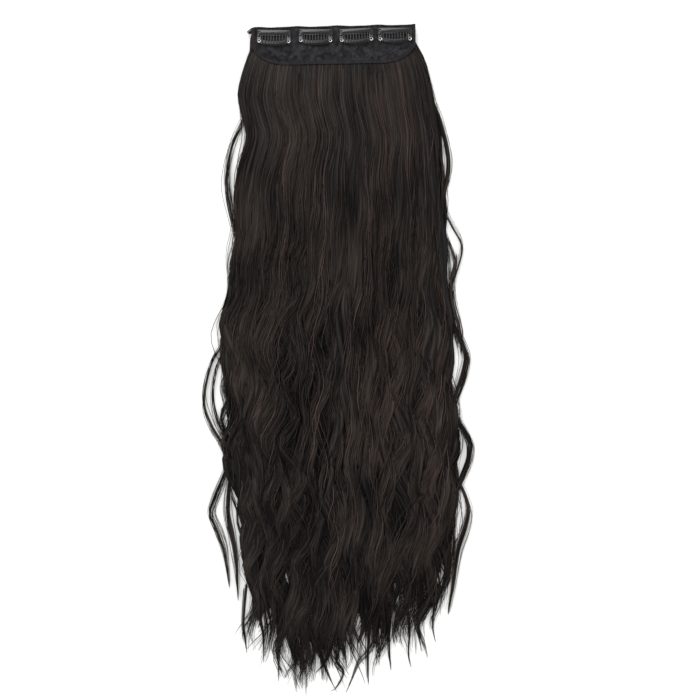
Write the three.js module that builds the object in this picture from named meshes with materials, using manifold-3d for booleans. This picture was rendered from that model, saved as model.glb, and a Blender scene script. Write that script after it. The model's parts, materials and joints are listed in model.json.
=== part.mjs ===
// A clip-in hair extension: one wide weft of wavy hair under a cloth flap with four snap combs.
// It lies flat with its combs up. Sizes are in millimetres.
// X runs along the weft, Y from the tips up to the weft, Z up from the surface that it lies on.
import * as THREE from "three";
import { mergeVertices } from "three/addons/utils/BufferGeometryUtils.js";
import Module from "manifold-3d";

const wasm = await Module();
wasm.setup();

const fitGap = 0.3; // between pieces that rest on or beside each other
const rivetPlay = 0.15; // round and under a rivet

// The row of snap combs, and how each is sewn on: shift is a share of a comb's width, tilt degrees
const clips = [
  { shift: -0.016, tilt: -1.9 },
  { shift: 0.019, tilt: -1.4 },
  { shift: 0.016, tilt: 1.4 },
  { shift: -0.026, tilt: -0.6 },
];
const clipWidth = 31;
const clipGap = 6;
const clipRowShift = 1.6; // of the row from the flap's middle

// The cloth flap over the hair's roots, with its rolled top edge and its folded hem
const flapMargin = 4; // beside the row of combs
const flapWidth = clips.length * clipWidth + (clips.length - 1) * clipGap + 2 * flapMargin;
const flapHeight = 35;
const flapThickness = 1.4;
const flapCornerWidth = 32;
const flapCornerHeight = 20;
const flapTilt = 1.1; // degrees
const hemWidth = 3;
const hemThickness = 1.8;
const bindingDiameter = 1.6;
const bindingSides = 8;

// The hair, from the flap's top edge down to the longest tips
const hairLength = 608;
const looseLength = 60; // of the separate ends past the fused body
const bodyLength = hairLength - looseLength;
const hairHalfWidth = 100;
const hairThickness = 13;
const rootThickness = 5;
const rootInset = 3; // of the sewn root behind the flap's top edge and sides
const waveLength = 66;
const waveSize = 4.5;
const crestReach = 12; // of the crests past the grooves at the body's end
const laneCount = 10; // locks that show side by side on the body
const rowSpacing = 17; // of the points along the body
const lockSpacing = 12; // of the points along a loose lock
const lockLift = 0.4; // the lowest side of the loose locks over the surface

// One snap comb
const railGap = 0.6; // from the binding to the rail
const steel = 0.4;
const railWidth = 3.8;
const railCornerRadius = 1.6;
const armWidth = 4;
const windowHeight = 6.4; // from the rail down to the rivets
const rivetDrop = railWidth + windowHeight;
const sewingHoleRadius = 0.6;
const sewingHoleInset = 1.5; // from the rail's top edge to the first sewing hole
const sewingHoleRows = 2;
const barSag = 2.2;
const barWidth = 4.2;
const barBow = 0.4;
const spineWidth = 1.2;
const toothCount = 9;
const toothWidth = 1.5;
const toothTipWidth = 0.8;
const toothOverhang = 0.9; // of the tips past the bar
const tipHeight = 0.5; // of the tooth tips over the cloth
const rivetShankRadius = 1.05;
const rivetHeadRadius = rivetShankRadius + 0.75;
const rivetFootRadius = rivetShankRadius + 0.55;
const rivetBoreRadius = rivetShankRadius - 0.35;
const rivetHeadThickness = 0.5;
const rivetFootThickness = 0.2;
const rivetSides = 10;

// The hair's root under the flap: down is a share of the flap's height, spread of its half width.
const rootSections = [
  { down: 0, spread: 0.97 },
  { down: 0.45, spread: 1.02 },
];

// The hair's body below the flap: along is a share of its length, left and right are shares of the
// half width, thick of the full thickness, wave of the wave's size.
const bodySections = [
  { along: 0.0, left: -0.81, right: 0.85, thick: rootThickness / hairThickness, wave: 0 },
  { along: 0.05, left: -0.86, right: 0.9, thick: 0.66, wave: 0.1 },
  { along: 0.12, left: -0.82, right: 0.95, thick: 0.85, wave: 0.3 },
  { along: 0.2, left: -0.87, right: 0.97, thick: 0.95, wave: 0.5 },
  { along: 0.31, left: -0.92, right: 1.01, thick: 1.0, wave: 0.7 },
  { along: 0.42, left: -0.96, right: 1.03, thick: 1.0, wave: 0.9 },
  { along: 0.52, left: -1.0, right: 1.08, thick: 0.98, wave: 1.0 },
  { along: 0.62, left: -0.95, right: 1.1, thick: 0.92, wave: 1.0 },
  { along: 0.74, left: -0.95, right: 1.17, thick: 0.82, wave: 1.0 },
  { along: 0.86, left: -0.87, right: 1.12, thick: 0.66, wave: 1.0 },
  { along: 0.94, left: -0.84, right: 1.07, thick: 0.48, wave: 0.9 },
  { along: 1.0, left: -0.76, right: 0.98, thick: 0.24, wave: 0.8 },
];

// Locks that leave the body's sides, and the separate ends of the hair. from and to are shares of
// the hair's length; start, middle and end are places across, as shares of the half width; width
// is a share of the half width, thick of the hair's thickness, and taper the share of both that is
// left at the end.
const locks = [
  { from: 0.12, to: 0.31, start: -0.75, middle: -0.955, end: -0.84, width: 0.045, thick: 0.3, taper: 0.8 },
  { from: 0.43, to: 0.64, start: -0.88, middle: -1.2, end: -0.88, width: 0.035, thick: 0.25, taper: 0.8 },
  { from: 0.65, to: 0.86, start: -0.86, middle: -1.11, end: -0.96, width: 0.05, thick: 0.3, taper: 0.2 },
  { from: 0.11, to: 0.3, start: 0.84, middle: 1.07, end: 0.92, width: 0.065, thick: 0.32, taper: 0.8 },
  { from: 0.32, to: 0.45, start: 0.92, middle: 1.15, end: 0.95, width: 0.035, thick: 0.25, taper: 0.8 },
  { from: 0.43, to: 0.56, start: 0.94, middle: 1.24, end: 0.96, width: 0.035, thick: 0.25, taper: 0.8 },
  { from: 0.55, to: 0.7, start: 0.98, middle: 1.27, end: 1.03, width: 0.055, thick: 0.3, taper: 0.8 },
  { from: 0.68, to: 0.84, start: 1.03, middle: 1.23, end: 1.04, width: 0.055, thick: 0.3, taper: 0.6 },
  { from: 0.78, to: 0.93, start: -0.78, middle: -0.83, end: -0.82, width: 0.15, thick: 0.34, taper: 0.1 },
  { from: 0.8, to: 0.96, start: -0.62, middle: -0.68, end: -0.65, width: 0.22, thick: 0.4, taper: 0.08 },
  { from: 0.8, to: 0.985, start: -0.44, middle: -0.46, end: -0.51, width: 0.24, thick: 0.42, taper: 0.08 },
  { from: 0.8, to: 1.0, start: -0.3, middle: -0.27, end: -0.33, width: 0.26, thick: 0.42, taper: 0.08 },
  { from: 0.8, to: 0.97, start: -0.1, middle: -0.12, end: -0.02, width: 0.26, thick: 0.42, taper: 0.08 },
  { from: 0.8, to: 0.995, start: 0.12, middle: 0.06, end: 0.12, width: 0.26, thick: 0.42, taper: 0.08 },
  { from: 0.8, to: 0.975, start: 0.34, middle: 0.36, end: 0.4, width: 0.26, thick: 0.42, taper: 0.08 },
  { from: 0.8, to: 0.98, start: 0.54, middle: 0.56, end: 0.53, width: 0.24, thick: 0.4, taper: 0.08 },
  { from: 0.8, to: 0.955, start: 0.74, middle: 0.73, end: 0.71, width: 0.22, thick: 0.38, taper: 0.08 },
  { from: 0.78, to: 0.96, start: 0.92, middle: 0.93, end: 0.95, width: 0.2, thick: 0.36, taper: 0.08 },
  { from: 0.76, to: 0.9, start: 1.04, middle: 1.1, end: 1.08, width: 0.13, thick: 0.3, taper: 0.1 },
];

// Heights over the surface, and over the flap for the clips
const flapBottom = rootThickness + fitGap;
const flapTop = flapBottom + flapThickness;
const footZ = rivetPlay;
const frameZ = footZ + rivetFootThickness + rivetPlay;
const barZ = frameZ + steel + rivetPlay;
const headZ = barZ + steel + rivetPlay;
const toothZ = barZ + steel + barBow + fitGap; // where the teeth cross the bar
const clipZ = flapTop + rivetPlay;

const cloth = new THREE.MeshStandardMaterial({ color: "#2f2f32", roughness: 0.95 });
const tape = new THREE.MeshStandardMaterial({ color: "#3a3538", roughness: 0.9 });
const hairFibre = new THREE.MeshStandardMaterial({ color: "#2b2320", roughness: 0.45 });
const enamel = new THREE.MeshStandardMaterial({ color: "#101012", roughness: 0.25, metalness: 0.4 });
const nickel = new THREE.MeshStandardMaterial({ color: "#d2d2d2", roughness: 0.25, metalness: 1 });

const group = new THREE.Group();

function place(parent, name, geometry, material) {
  const mesh = new THREE.Mesh(geometry, material);
  mesh.name = name;
  parent.add(mesh);
  return mesh;
}

// Joining solids

function toSolid(geometry) {
  const bare = geometry.clone();
  bare.deleteAttribute("normal");
  bare.deleteAttribute("uv");
  const merged = mergeVertices(bare, 1e-4);
  return new wasm.Manifold(
    new wasm.Mesh({
      numProp: 3,
      vertProperties: merged.attributes.position.array,
      triVerts: new Uint32Array(merged.index.array),
    }),
  );
}

function toGeometry(solid) {
  const { vertProperties, triVerts } = solid.getMesh();
  const geometry = new THREE.BufferGeometry();
  geometry.setAttribute("position", new THREE.BufferAttribute(vertProperties, 3));
  geometry.setIndex(new THREE.BufferAttribute(triVerts, 1));
  return geometry;
}

function fuse(geometries) {
  const [first, ...others] = geometries.map(toSolid);
  return toGeometry(others.reduce((whole, piece) => whole.add(piece), first));
}

// A closed solid through rings of points, each anticlockwise when looking along the loft.
function loft(rings) {
  const size = rings[0].length;
  const index = [];
  for (let i = 0; i + 1 < rings.length; i++) {
    for (let k = 0; k < size; k++) {
      const a = i * size + k;
      const b = i * size + ((k + 1) % size);
      index.push(a, b + size, b, a, a + size, b + size);
    }
  }
  const last = (rings.length - 1) * size;
  for (let k = 1; k + 1 < size; k++) {
    index.push(0, k, k + 1);
    index.push(last, last + k + 1, last + k);
  }
  const geometry = new THREE.BufferGeometry();
  geometry.setAttribute("position", new THREE.Float32BufferAttribute(rings.flat(2), 3));
  geometry.setIndex(index);
  return geometry;
}

function plate(shape, thickness, curveSegments) {
  return new THREE.ExtrudeGeometry(shape, { depth: thickness, bevelEnabled: false, curveSegments });
}

// Hair

// A smooth curve through one column of a table.
function sample(table, column, along) {
  let i = 0;
  while (i + 2 < table.length && table[i + 1].along < along) i++;
  const at = (k) => table[THREE.MathUtils.clamp(k, 0, table.length - 1)][column];
  const share = (along - table[i].along) / (table[i + 1].along - table[i].along);
  const [a, b, c, d] = [at(i - 1), at(i), at(i + 1), at(i + 2)];
  const bend = (2 * a - 5 * b + 4 * c - d) * share + (3 * b - a - 3 * c + d) * share * share;
  return b + (share / 2) * (c - a + bend);
}

// The side to side swing of a lock, from -1 to 1. Each lane has its own phase.
function sway(y, lane) {
  const laneStep = 0.8;
  const laneMix = 2.3;
  const phase = laneStep * lane + laneMix * Math.sin(laneMix * lane);
  return Math.sin((2 * Math.PI * y) / waveLength + phase);
}

// One row of points across the body, left to right: crests along the middle of each lane and
// grooves between them, with relief from 0, flat, to 1. point pulls the crests past the grooves.
function bodyRow({ y, left, right, thick, wave, relief, point }) {
  const edgeShare = 0.25;
  const grooveShare = 0.5;
  const heave = 0.1;
  const row = [];
  for (let k = 0; k <= 2 * laneCount; k++) {
    const across = k / (2 * laneCount);
    const lane = (k - 1) / 2;
    const crest = k % 2 === 1;
    const swing = crest ? sway(y, lane) : (sway(y, lane - 0.5) + sway(y, lane + 0.5)) / 2;
    const arch = edgeShare + (1 - edgeShare) * Math.sqrt(1 - Math.abs(2 * across - 1) ** 4);
    const lift = crest ? 1 + heave * wave * sway(y + waveLength / 4, lane) : grooveShare;
    row.push([
      THREE.MathUtils.lerp(left, right, across) + wave * waveSize * swing,
      y - (crest ? point : -point),
      thick * THREE.MathUtils.lerp(1, arch * lift, relief),
    ]);
  }
  return row;
}

// The lowest that the tilted flap reaches, where the hair may rise beside it
const flapTurn = THREE.MathUtils.degToRad(flapTilt);
const cornerDrop = (flapWidth / 2) * Math.sin(Math.abs(flapTurn));
const flapReach = flapHeight * Math.cos(flapTurn) + cornerDrop + fitGap;

function hairBody() {
  const rows = rootSections.map(({ down, spread }) => {
    const half = (spread * flapWidth) / 2;
    const y = -THREE.MathUtils.lerp(rootInset, flapHeight, down);
    return bodyRow({ y, left: -half, right: half, thick: rootThickness, wave: 0, relief: 0, point: 0 });
  });
  const length = bodyLength - flapReach;
  const count = Math.round(length / rowSpacing);
  const fullRelief = bodySections[2].along;
  for (let i = 0; i <= count; i++) {
    const along = i / count;
    rows.push(
      bodyRow({
        y: -flapReach - along * length,
        left: sample(bodySections, "left", along) * hairHalfWidth,
        right: sample(bodySections, "right", along) * hairHalfWidth,
        thick: sample(bodySections, "thick", along) * hairThickness,
        wave: sample(bodySections, "wave", along),
        relief: Math.min(1, along / fullRelief),
        point: crestReach * along ** 8,
      }),
    );
  }
  // The top of each row left to right, then its flat underside back
  return loft(rows.map((row) => [...row, ...row.map(([x, y]) => [x, y, 0]).reverse()]));
}

function hairLock({ from, to, start, middle, end, width, thick, taper }) {
  const steps = Math.ceil(((to - from) * hairLength) / lockSpacing);
  const curl = 0.6; // share of the body's wave that a loose lock keeps
  const rings = [];
  for (let i = 0; i <= steps; i++) {
    const t = i / steps;
    const y = -THREE.MathUtils.lerp(from, to, t) * hairLength;
    const bow = 4 * t * (1 - t) * (middle - (start + end) / 2);
    const x = (THREE.MathUtils.lerp(start, end, t) + bow) * hairHalfWidth;
    const centre = x + curl * waveSize * sway(y, middle) * t;
    const size = 1 + (taper - 1) * t * t;
    const half = (width * hairHalfWidth * size) / 2;
    const top = thick * hairThickness * size;
    rings.push(
      [
        [-1, 0],
        [-0.76, 0.7],
        [0, 1],
        [0.76, 0.7],
        [1, 0],
      ].map(([side, up]) => [centre + side * half, y, lockLift + up * top]),
    );
  }
  return loft(rings);
}

place(group, "hair", fuse([hairBody(), ...locks.map(hairLock)]), hairFibre);

// Flap, hem and binding, in a group that turns about the middle of the flap's top edge

const weft = new THREE.Group();
weft.rotation.z = flapTurn;
group.add(weft);

// The points of a flap outline from its top left round the lower edge to its top right.
function flapEdge(inset, top) {
  const half = flapWidth / 2 - inset;
  const low = -flapHeight + inset;
  const wide = flapCornerWidth - inset;
  const high = flapCornerHeight - inset;
  const edge = new THREE.Path();
  edge.moveTo(-half, top);
  edge.lineTo(-half, low + high);
  edge.absellipse(-half + wide, low + high, wide, high, Math.PI, 1.5 * Math.PI);
  edge.absellipse(half - wide, low + high, wide, high, 1.5 * Math.PI, 2 * Math.PI);
  edge.lineTo(half, top);
  return edge.getPoints(6);
}

const clothTop = -bindingDiameter - fitGap;
const flapShape = new THREE.Shape(flapEdge(hemWidth + fitGap, clothTop));
place(weft, "flap", plate(flapShape, flapThickness, 1), cloth).position.z = flapBottom;

const hemShape = new THREE.Shape([...flapEdge(0, clothTop), ...flapEdge(hemWidth, clothTop).reverse()]);
place(weft, "hem", plate(hemShape, hemThickness, 1), tape).position.z = flapBottom;

const rollRadius = bindingDiameter / 2;
const roll = new THREE.CylinderGeometry(rollRadius, rollRadius, flapWidth, bindingSides);
roll.rotateZ(Math.PI / 2);
place(weft, "binding", roll, cloth).position.set(0, -rollRadius, flapBottom + rollRadius);

// Snap combs, each drawn from the middle of its rail's top edge, with z from the cloth up

const halfClip = clipWidth / 2;
const rivetX = halfClip - armWidth / 2;
const sides = { left: -1, right: 1 };

function hole(x, y, radius) {
  return new THREE.Path().absarc(x, y, radius, 0, 2 * Math.PI);
}

// A rail with an arm at each end, sewing holes down the arms and a rivet hole in each round foot.
function frameGeometry() {
  const inner = halfClip - armWidth;
  const corner = railCornerRadius;
  const outline = new THREE.Shape();
  outline.moveTo(-halfClip, -rivetDrop);
  outline.lineTo(-halfClip, -corner);
  outline.absarc(corner - halfClip, -corner, corner, Math.PI, Math.PI / 2, true);
  outline.absarc(halfClip - corner, -corner, corner, Math.PI / 2, 0, true);
  outline.lineTo(halfClip, -rivetDrop);
  outline.absarc(rivetX, -rivetDrop, armWidth / 2, 0, -Math.PI, true);
  outline.lineTo(inner, -railWidth);
  outline.lineTo(-inner, -railWidth);
  outline.lineTo(-inner, -rivetDrop);
  outline.absarc(-rivetX, -rivetDrop, armWidth / 2, 0, -Math.PI, true);
  for (const side of Object.values(sides)) {
    outline.holes.push(hole(side * rivetX, -rivetDrop, rivetShankRadius + rivetPlay));
    for (let row = 0; row < sewingHoleRows; row++) {
      const y = -THREE.MathUtils.lerp(sewingHoleInset, rivetDrop, row / sewingHoleRows);
      outline.holes.push(hole(side * rivetX, y, sewingHoleRadius));
    }
  }
  return plate(outline, steel, 3);
}

// The bar's edge at x: side is 1 for its upper edge and -1 for its lower one.
function barEdge(x, side) {
  const end = -rivetDrop + (side * armWidth) / 2;
  const middle = -rivetDrop - barSag + (side * barWidth) / 2;
  return THREE.MathUtils.lerp(middle, end, (x / rivetX) ** 2);
}

// A crescent bar from rivet to rivet, sagging along the cloth and bowed up off it.
function barGeometry() {
  const end = armWidth / 2;
  const outline = new THREE.Shape();
  const upper = 2 * barEdge(0, 1) - barEdge(rivetX, 1);
  const lower = 2 * barEdge(0, -1) - barEdge(rivetX, -1);
  outline.moveTo(-rivetX, -rivetDrop + end);
  outline.quadraticCurveTo(0, upper, rivetX, -rivetDrop + end);
  outline.absarc(rivetX, -rivetDrop, end, Math.PI / 2, -Math.PI / 2, true);
  outline.quadraticCurveTo(0, lower, -rivetX, -rivetDrop - end);
  outline.absarc(-rivetX, -rivetDrop, end, -Math.PI / 2, -1.5 * Math.PI, true);
  for (const side of Object.values(sides)) {
    outline.holes.push(hole(side * rivetX, -rivetDrop, rivetShankRadius + rivetPlay));
  }
  const geometry = plate(outline, steel, 4);
  const position = geometry.attributes.position;
  const flatFrom = rivetX - end; // the round ends stay flat
  for (let i = 0; i < position.count; i++) {
    const share = Math.min(1, Math.abs(position.getX(i)) / flatFrom);
    position.setZ(i, position.getZ(i) + barBow * (1 - share * share));
  }
  return geometry;
}

// The spine stands just below the rail; the teeth rise from it over the bar and curl down past it.
const spineY = -railWidth - fitGap - spineWidth / 2;

// One tooth with its middle at x. Each step has its underside's place, and the share of the
// tooth's taper that is done there.
function toothGeometry(x) {
  const low = barEdge(x, -1);
  const steps = [
    { y: spineY, z: frameZ + steel / 8, taper: 0 },
    { y: spineY - spineWidth, z: frameZ + steel, taper: 0.1 },
    { y: barEdge(x, 1), z: toothZ, taper: 0.4 },
    { y: low + fitGap, z: toothZ, taper: 0.7 },
    { y: low - toothOverhang / 2, z: toothZ - steel, taper: 0.85 },
    { y: low - toothOverhang, z: tipHeight, taper: 1 },
  ];
  return loft(
    steps.map(({ y, z, taper }) => {
      const half = THREE.MathUtils.lerp(toothWidth, toothTipWidth, taper) / 2;
      const top = z + steel * (1 - taper / 4);
      return [
        [x - half, y, z],
        [x - half, y, top],
        [x + half, y, top],
        [x + half, y, z],
      ];
    }),
  );
}

function combGeometry() {
  const half = Math.min(halfClip - armWidth, rivetX - rivetHeadRadius) - fitGap;
  const spine = new THREE.BoxGeometry(2 * half, spineWidth, steel);
  spine.translate(0, spineY, frameZ + steel / 2);
  const reach = half - toothWidth / 2;
  const teeth = [];
  for (let tooth = 0; tooth < toothCount; tooth++) {
    teeth.push(toothGeometry(THREE.MathUtils.lerp(-reach, reach, tooth / (toothCount - 1))));
  }
  return fuse([spine, ...teeth]);
}

// A hollow rivet: foot under the frame, shank through both holes, domed head over the bar.
function rivetGeometry() {
  const headTop = headZ + rivetHeadThickness;
  const profile = [
    [rivetBoreRadius, footZ],
    [rivetFootRadius, footZ],
    [rivetFootRadius, footZ + rivetFootThickness],
    [rivetShankRadius, footZ + rivetFootThickness],
    [rivetShankRadius, headZ],
    [rivetHeadRadius, headZ],
    [(rivetHeadRadius + rivetBoreRadius) / 2, headTop],
    [rivetBoreRadius, headTop - rivetHeadThickness / 4],
    [rivetBoreRadius, footZ],
  ].map(([radius, z]) => new THREE.Vector2(radius, z));
  const geometry = new THREE.LatheGeometry(profile, rivetSides);
  geometry.rotateX(Math.PI / 2);
  return geometry;
}

const frame = frameGeometry();
const bar = barGeometry();
const comb = combGeometry();
const rivet = rivetGeometry();

clips.forEach(({ shift, tilt }, i) => {
  const name = `clip_${i + 1}`;
  const clip = new THREE.Group();
  const middle = (clips.length - 1) / 2;
  const x = (i - middle) * (clipWidth + clipGap) + shift * clipWidth + clipRowShift;
  clip.position.set(x, -bindingDiameter - railGap, clipZ);
  clip.rotation.z = THREE.MathUtils.degToRad(tilt);
  weft.add(clip);
  place(clip, `${name}_frame`, frame, enamel).position.z = frameZ;
  place(clip, `${name}_bar`, bar, enamel).position.z = barZ;
  place(clip, `${name}_comb`, comb, enamel);
  for (const [side, sign] of Object.entries(sides)) {
    place(clip, `${name}_rivet_${side}`, rivet, nickel).position.set(sign * rivetX, -rivetDrop, 0);
  }
});

// The origin is the middle of the whole part, on the surface that it lies on.
const box = new THREE.Box3().setFromObject(group, true);
const centre = box.getCenter(new THREE.Vector3());
group.position.set(-centre.x, -centre.y, -box.min.z);

export default group;
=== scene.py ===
import json
import math

import bmesh
import bpy
import numpy as np
from mathutils import Matrix, Vector


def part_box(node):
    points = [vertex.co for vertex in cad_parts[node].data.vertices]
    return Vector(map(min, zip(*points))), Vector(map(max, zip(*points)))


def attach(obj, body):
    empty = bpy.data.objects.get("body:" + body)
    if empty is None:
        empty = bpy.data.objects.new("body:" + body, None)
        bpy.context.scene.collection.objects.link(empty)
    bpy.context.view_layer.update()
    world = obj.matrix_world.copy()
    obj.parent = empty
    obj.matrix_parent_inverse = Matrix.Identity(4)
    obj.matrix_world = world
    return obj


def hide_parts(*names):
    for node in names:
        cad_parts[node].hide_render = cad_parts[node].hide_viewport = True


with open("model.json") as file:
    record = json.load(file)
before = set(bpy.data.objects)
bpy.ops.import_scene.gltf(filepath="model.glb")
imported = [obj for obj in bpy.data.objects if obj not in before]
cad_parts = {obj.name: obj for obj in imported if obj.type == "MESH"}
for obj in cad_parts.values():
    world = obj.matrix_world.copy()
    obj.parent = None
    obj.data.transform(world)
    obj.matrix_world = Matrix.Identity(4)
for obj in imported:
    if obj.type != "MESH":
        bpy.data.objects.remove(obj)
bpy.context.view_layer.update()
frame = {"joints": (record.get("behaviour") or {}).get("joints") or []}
mm = 0.001
clearOfFloor = 0.05  # mm that the lowest fibres stay above the surface
uvLength = 100  # mm of strand for one unit of its UV map

weft = {
    "tilt": 1.1,  # degrees, of the flap against the hair
    "width": 150,
    "height": 35,
    "cornerWidth": 32,  # of its rounded lower corners
    "cornerHeight": 20,
    "bindingRadius": 0.8,  # of the rolled edge along its top
    "clothBottom": 5.3,  # height of its underside
}

# where the middle of the flap's top edge lies, from the rolled edge's box
weftTurn = Matrix.Rotation(math.radians(weft["tilt"]), 4, "Z")
bindingLow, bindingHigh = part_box("binding")
bindingAxis = weftTurn @ Vector((0, -weft["bindingRadius"] * mm, 0))
bindingMiddle = (bindingLow + bindingHigh) / 2
weftShift = Matrix.Translation((bindingMiddle.x - bindingAxis.x, bindingMiddle.y - bindingAxis.y, 0))
hairPlace = weftShift @ Matrix.Scale(mm, 4)
weftPlace = weftShift @ weftTurn @ Matrix.Scale(mm, 4)


def deselectAll():
    bpy.ops.object.select_all(action="DESELECT")


def pick(obj):
    deselectAll()
    obj.select_set(True)
    bpy.context.view_layer.objects.active = obj
    return obj


def fromHex(code):  # sRGB hex to the linear colour that a shader takes
    parts = [int(code[i:i + 2], 16) / 255 for i in (1, 3, 5)]
    return tuple(p / 12.92 if p <= 0.04045 else ((p + 0.055) / 1.055) ** 2.4 for p in parts) + (1,)


# settings are the node's own or its sockets' values, links are its inputs' sources
def addNode(tree, kind, settings=None, links=None):
    node = tree.nodes.new("ShaderNode" + kind)
    for name, value in (settings or {}).items():
        if isinstance(name, str) and hasattr(node, name):
            setattr(node, name, value)
        else:
            node.inputs[name].default_value = value
    for name, source in (links or {}).items():
        tree.links.new(source, node.inputs[name])
    return node


def addObject(name, data):
    obj = bpy.data.objects.new(name, data)
    bpy.context.scene.collection.objects.link(obj)
    return obj


# One value for each vertex, which a material reads by its title
def setValues(mesh, title, values):
    attribute = mesh.attributes.new(title, "FLOAT", "POINT")
    attribute.data.foreach_set("value", values.astype(np.float32))


# Leaves edit mode with points that meet merged and every face turned outwards
def mergeAndLeave():
    bpy.ops.mesh.select_all(action="SELECT")
    bpy.ops.mesh.remove_doubles(threshold=0.001)
    bpy.ops.mesh.normals_make_consistent(inside=False)
    bpy.ops.object.mode_set(mode="OBJECT")


# In edit mode, selects the faces that test says, and nothing else
def selectFaces(obj, test):
    bpy.ops.mesh.select_mode(type="FACE")
    bpy.ops.mesh.select_all(action="DESELECT")
    shape = bmesh.from_edit_mesh(obj.data)
    for face in shape.faces:
        if test(face):
            face.select_set(True)
    bmesh.update_edit_mesh(obj.data)


def startMaterial(name):
    material = bpy.data.materials.new(name)
    material.use_nodes = True
    material.node_tree.nodes.clear()
    return material, material.node_tree


print("camera, floor and lights")

view = {
    "lens": 85,
    "sensor": 36,
    "wide": 640.5,  # mm that the frame takes in at the weft's height
    "middle": (11.45, 6.55, 7.0),  # the point that it looks straight down at
}


def addCamera():
    distance = view["wide"] * view["lens"] / view["sensor"]
    x, y, z = view["middle"]
    bpy.ops.object.camera_add(location=(x * mm, y * mm, (z + distance) * mm), rotation=(0, 0, 0))
    camera = bpy.context.object
    camera.data.lens = view["lens"]
    camera.data.sensor_width = view["sensor"]
    bpy.context.scene.camera = camera


studio = {
    "floor": "#f4f4f2",
    "floorWide": 60000,
    "floorDrop": 0.2,  # under the weft
    "sky": "#ffffff",
    "skyStrength": 0.5,
    "lamps": (  # place, size and watts
        ((-500, 1500, 1500), 1500, 26),
        ((1500, 500, 1300), 1300, 14),
        ((-1500, -300, 1300), 1300, 12),
        ((300, -1600, 1300), 1300, 12),
        ((-250, 640, 1750), 400, 3.6),
    ),
}


def addStudio():
    wide, drop = studio["floorWide"] * mm, studio["floorDrop"] * mm
    bpy.ops.mesh.primitive_plane_add(size=wide, location=(0, 0, -drop))
    floor = bpy.context.object
    floor.name = "floor"
    paper, tree = startMaterial("matt white paper")
    shader = addNode(tree, "BsdfPrincipled", {"Base Color": fromHex(studio["floor"]), "Roughness": 0.9})
    addNode(tree, "OutputMaterial", {}, {"Surface": shader.outputs["BSDF"]})
    floor.data.materials.append(paper)
    for place, size, watts in studio["lamps"]:
        at = Vector(place) * mm
        bpy.ops.object.light_add(type="AREA", location=at)
        lamp = bpy.context.object
        lamp.rotation_euler = (-at).to_track_quat("-Z", "Y").to_euler()
        lamp.data.size = size * mm
        lamp.data.energy = watts
    world = bpy.data.worlds.new("studio")
    world.use_nodes = True
    bpy.context.scene.world = world
    sky = world.node_tree.nodes["Background"]
    sky.inputs["Color"].default_value = fromHex(studio["sky"])
    sky.inputs["Strength"].default_value = studio["skyStrength"]
    bpy.context.scene.view_settings.view_transform = "Standard"


addCamera()
addStudio()

print("hair")

hair = {
    "seed": 5,
    "reach": 36.7,  # from the flap's top edge down to where the hair leaves it
    "body": 548,  # down to the end of the dense part
    "length": 612,
    "halfWidth": 100,
    "thickness": 13,
    "crownTo": 0.12,  # share of the body over which its section becomes an arch
    "rootFrom": 5,
    "waveLength": 68,
    "waveSize": 5.2,
    "step": 8,  # of the points along a lock
    "restHigh": 1.35,  # least height of a lock's middle, as a share of its half height
    "taper": 95,  # of a lock's end
    # down is a share of the body below the flap; left and right of the half width, thick of the
    # thickness, wave of the wave's size
    "outline": (
        (-0.062, -0.67, 0.67, 0.375, 0.0),
        (-0.045, -0.695, 0.7, 0.375, 0.0),
        (-0.025, -0.735, 0.76, 0.375, 0.01),
        (-0.005, -0.775, 0.815, 0.39, 0.02),
        (0.025, -0.815, 0.855, 0.55, 0.04),
        (0.056, -0.835, 0.88, 0.68, 0.06),
        (0.093, -0.79, 0.91, 0.8, 0.09),
        (0.13, -0.75, 0.945, 0.87, 0.1),
        (0.195, -0.84, 0.96, 0.95, 0.15),
        (0.267, -0.865, 1.0, 1.0, 0.25),
        (0.392, -0.915, 1.015, 1.0, 0.48),
        (0.464, -1.01, 1.05, 0.99, 0.68),
        (0.571, -0.94, 1.05, 0.96, 0.86),
        (0.679, -0.97, 1.085, 0.88, 0.97),
        (0.777, -0.87, 1.085, 0.78, 1.0),
        (0.884, -0.83, 1.08, 0.62, 1.0),
        (0.956, -0.8, 1.03, 0.46, 0.95),
        (0.992, -0.78, 1.0, 0.34, 0.9),
        (1.12, -0.72, 0.9, 0.16, 0.7),
    ),
    # how far the longest locks reach at each place across, both as shares
    "ends": (
        (0.0, 0.875), (0.04, 0.95), (0.11, 0.955), (0.17, 0.985), (0.27, 1.0), (0.36, 0.99), (0.43, 0.98),
        (0.5, 0.995), (0.63, 0.965), (0.72, 0.97), (0.81, 0.94), (0.93, 0.945), (1.0, 0.875),
    ),
}
dice = np.random.default_rng(hair["seed"])


# A smooth line through a route's points
def smoothRoute(points, count):
    points = np.array(points, float)
    padded = np.concatenate([2 * points[:1] - points[1:2], points, 2 * points[-1:] - points[-2:-1]])
    at = np.linspace(0, len(points) - 1, count)
    k = np.minimum(at.astype(int), len(points) - 2)
    t = (at - k)[:, None]
    a, b, c, d = (padded[k + n] for n in range(4))
    square, cube = 2 * a - 5 * b + 4 * c - d, 3 * b - 3 * c + d - a
    return 0.5 * (2 * b + (c - a) * t + square * t ** 2 + cube * t ** 3)


hairOutline = smoothRoute(hair["outline"], 300)


def hairAt(y):
    down = (-y - hair["reach"]) / (hair["body"] - hair["reach"])
    left, right, thick, wave = (np.interp(down, hairOutline[:, 0], hairOutline[:, k]) for k in (1, 2, 3, 4))
    crown = np.clip(down / hair["crownTo"], 0, 1)
    return left * hair["halfWidth"], right * hair["halfWidth"], thick * hair["thickness"], wave, crown


def endAt(across):
    return hair["length"] * np.interp(across, *np.array(hair["ends"]).T)


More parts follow.
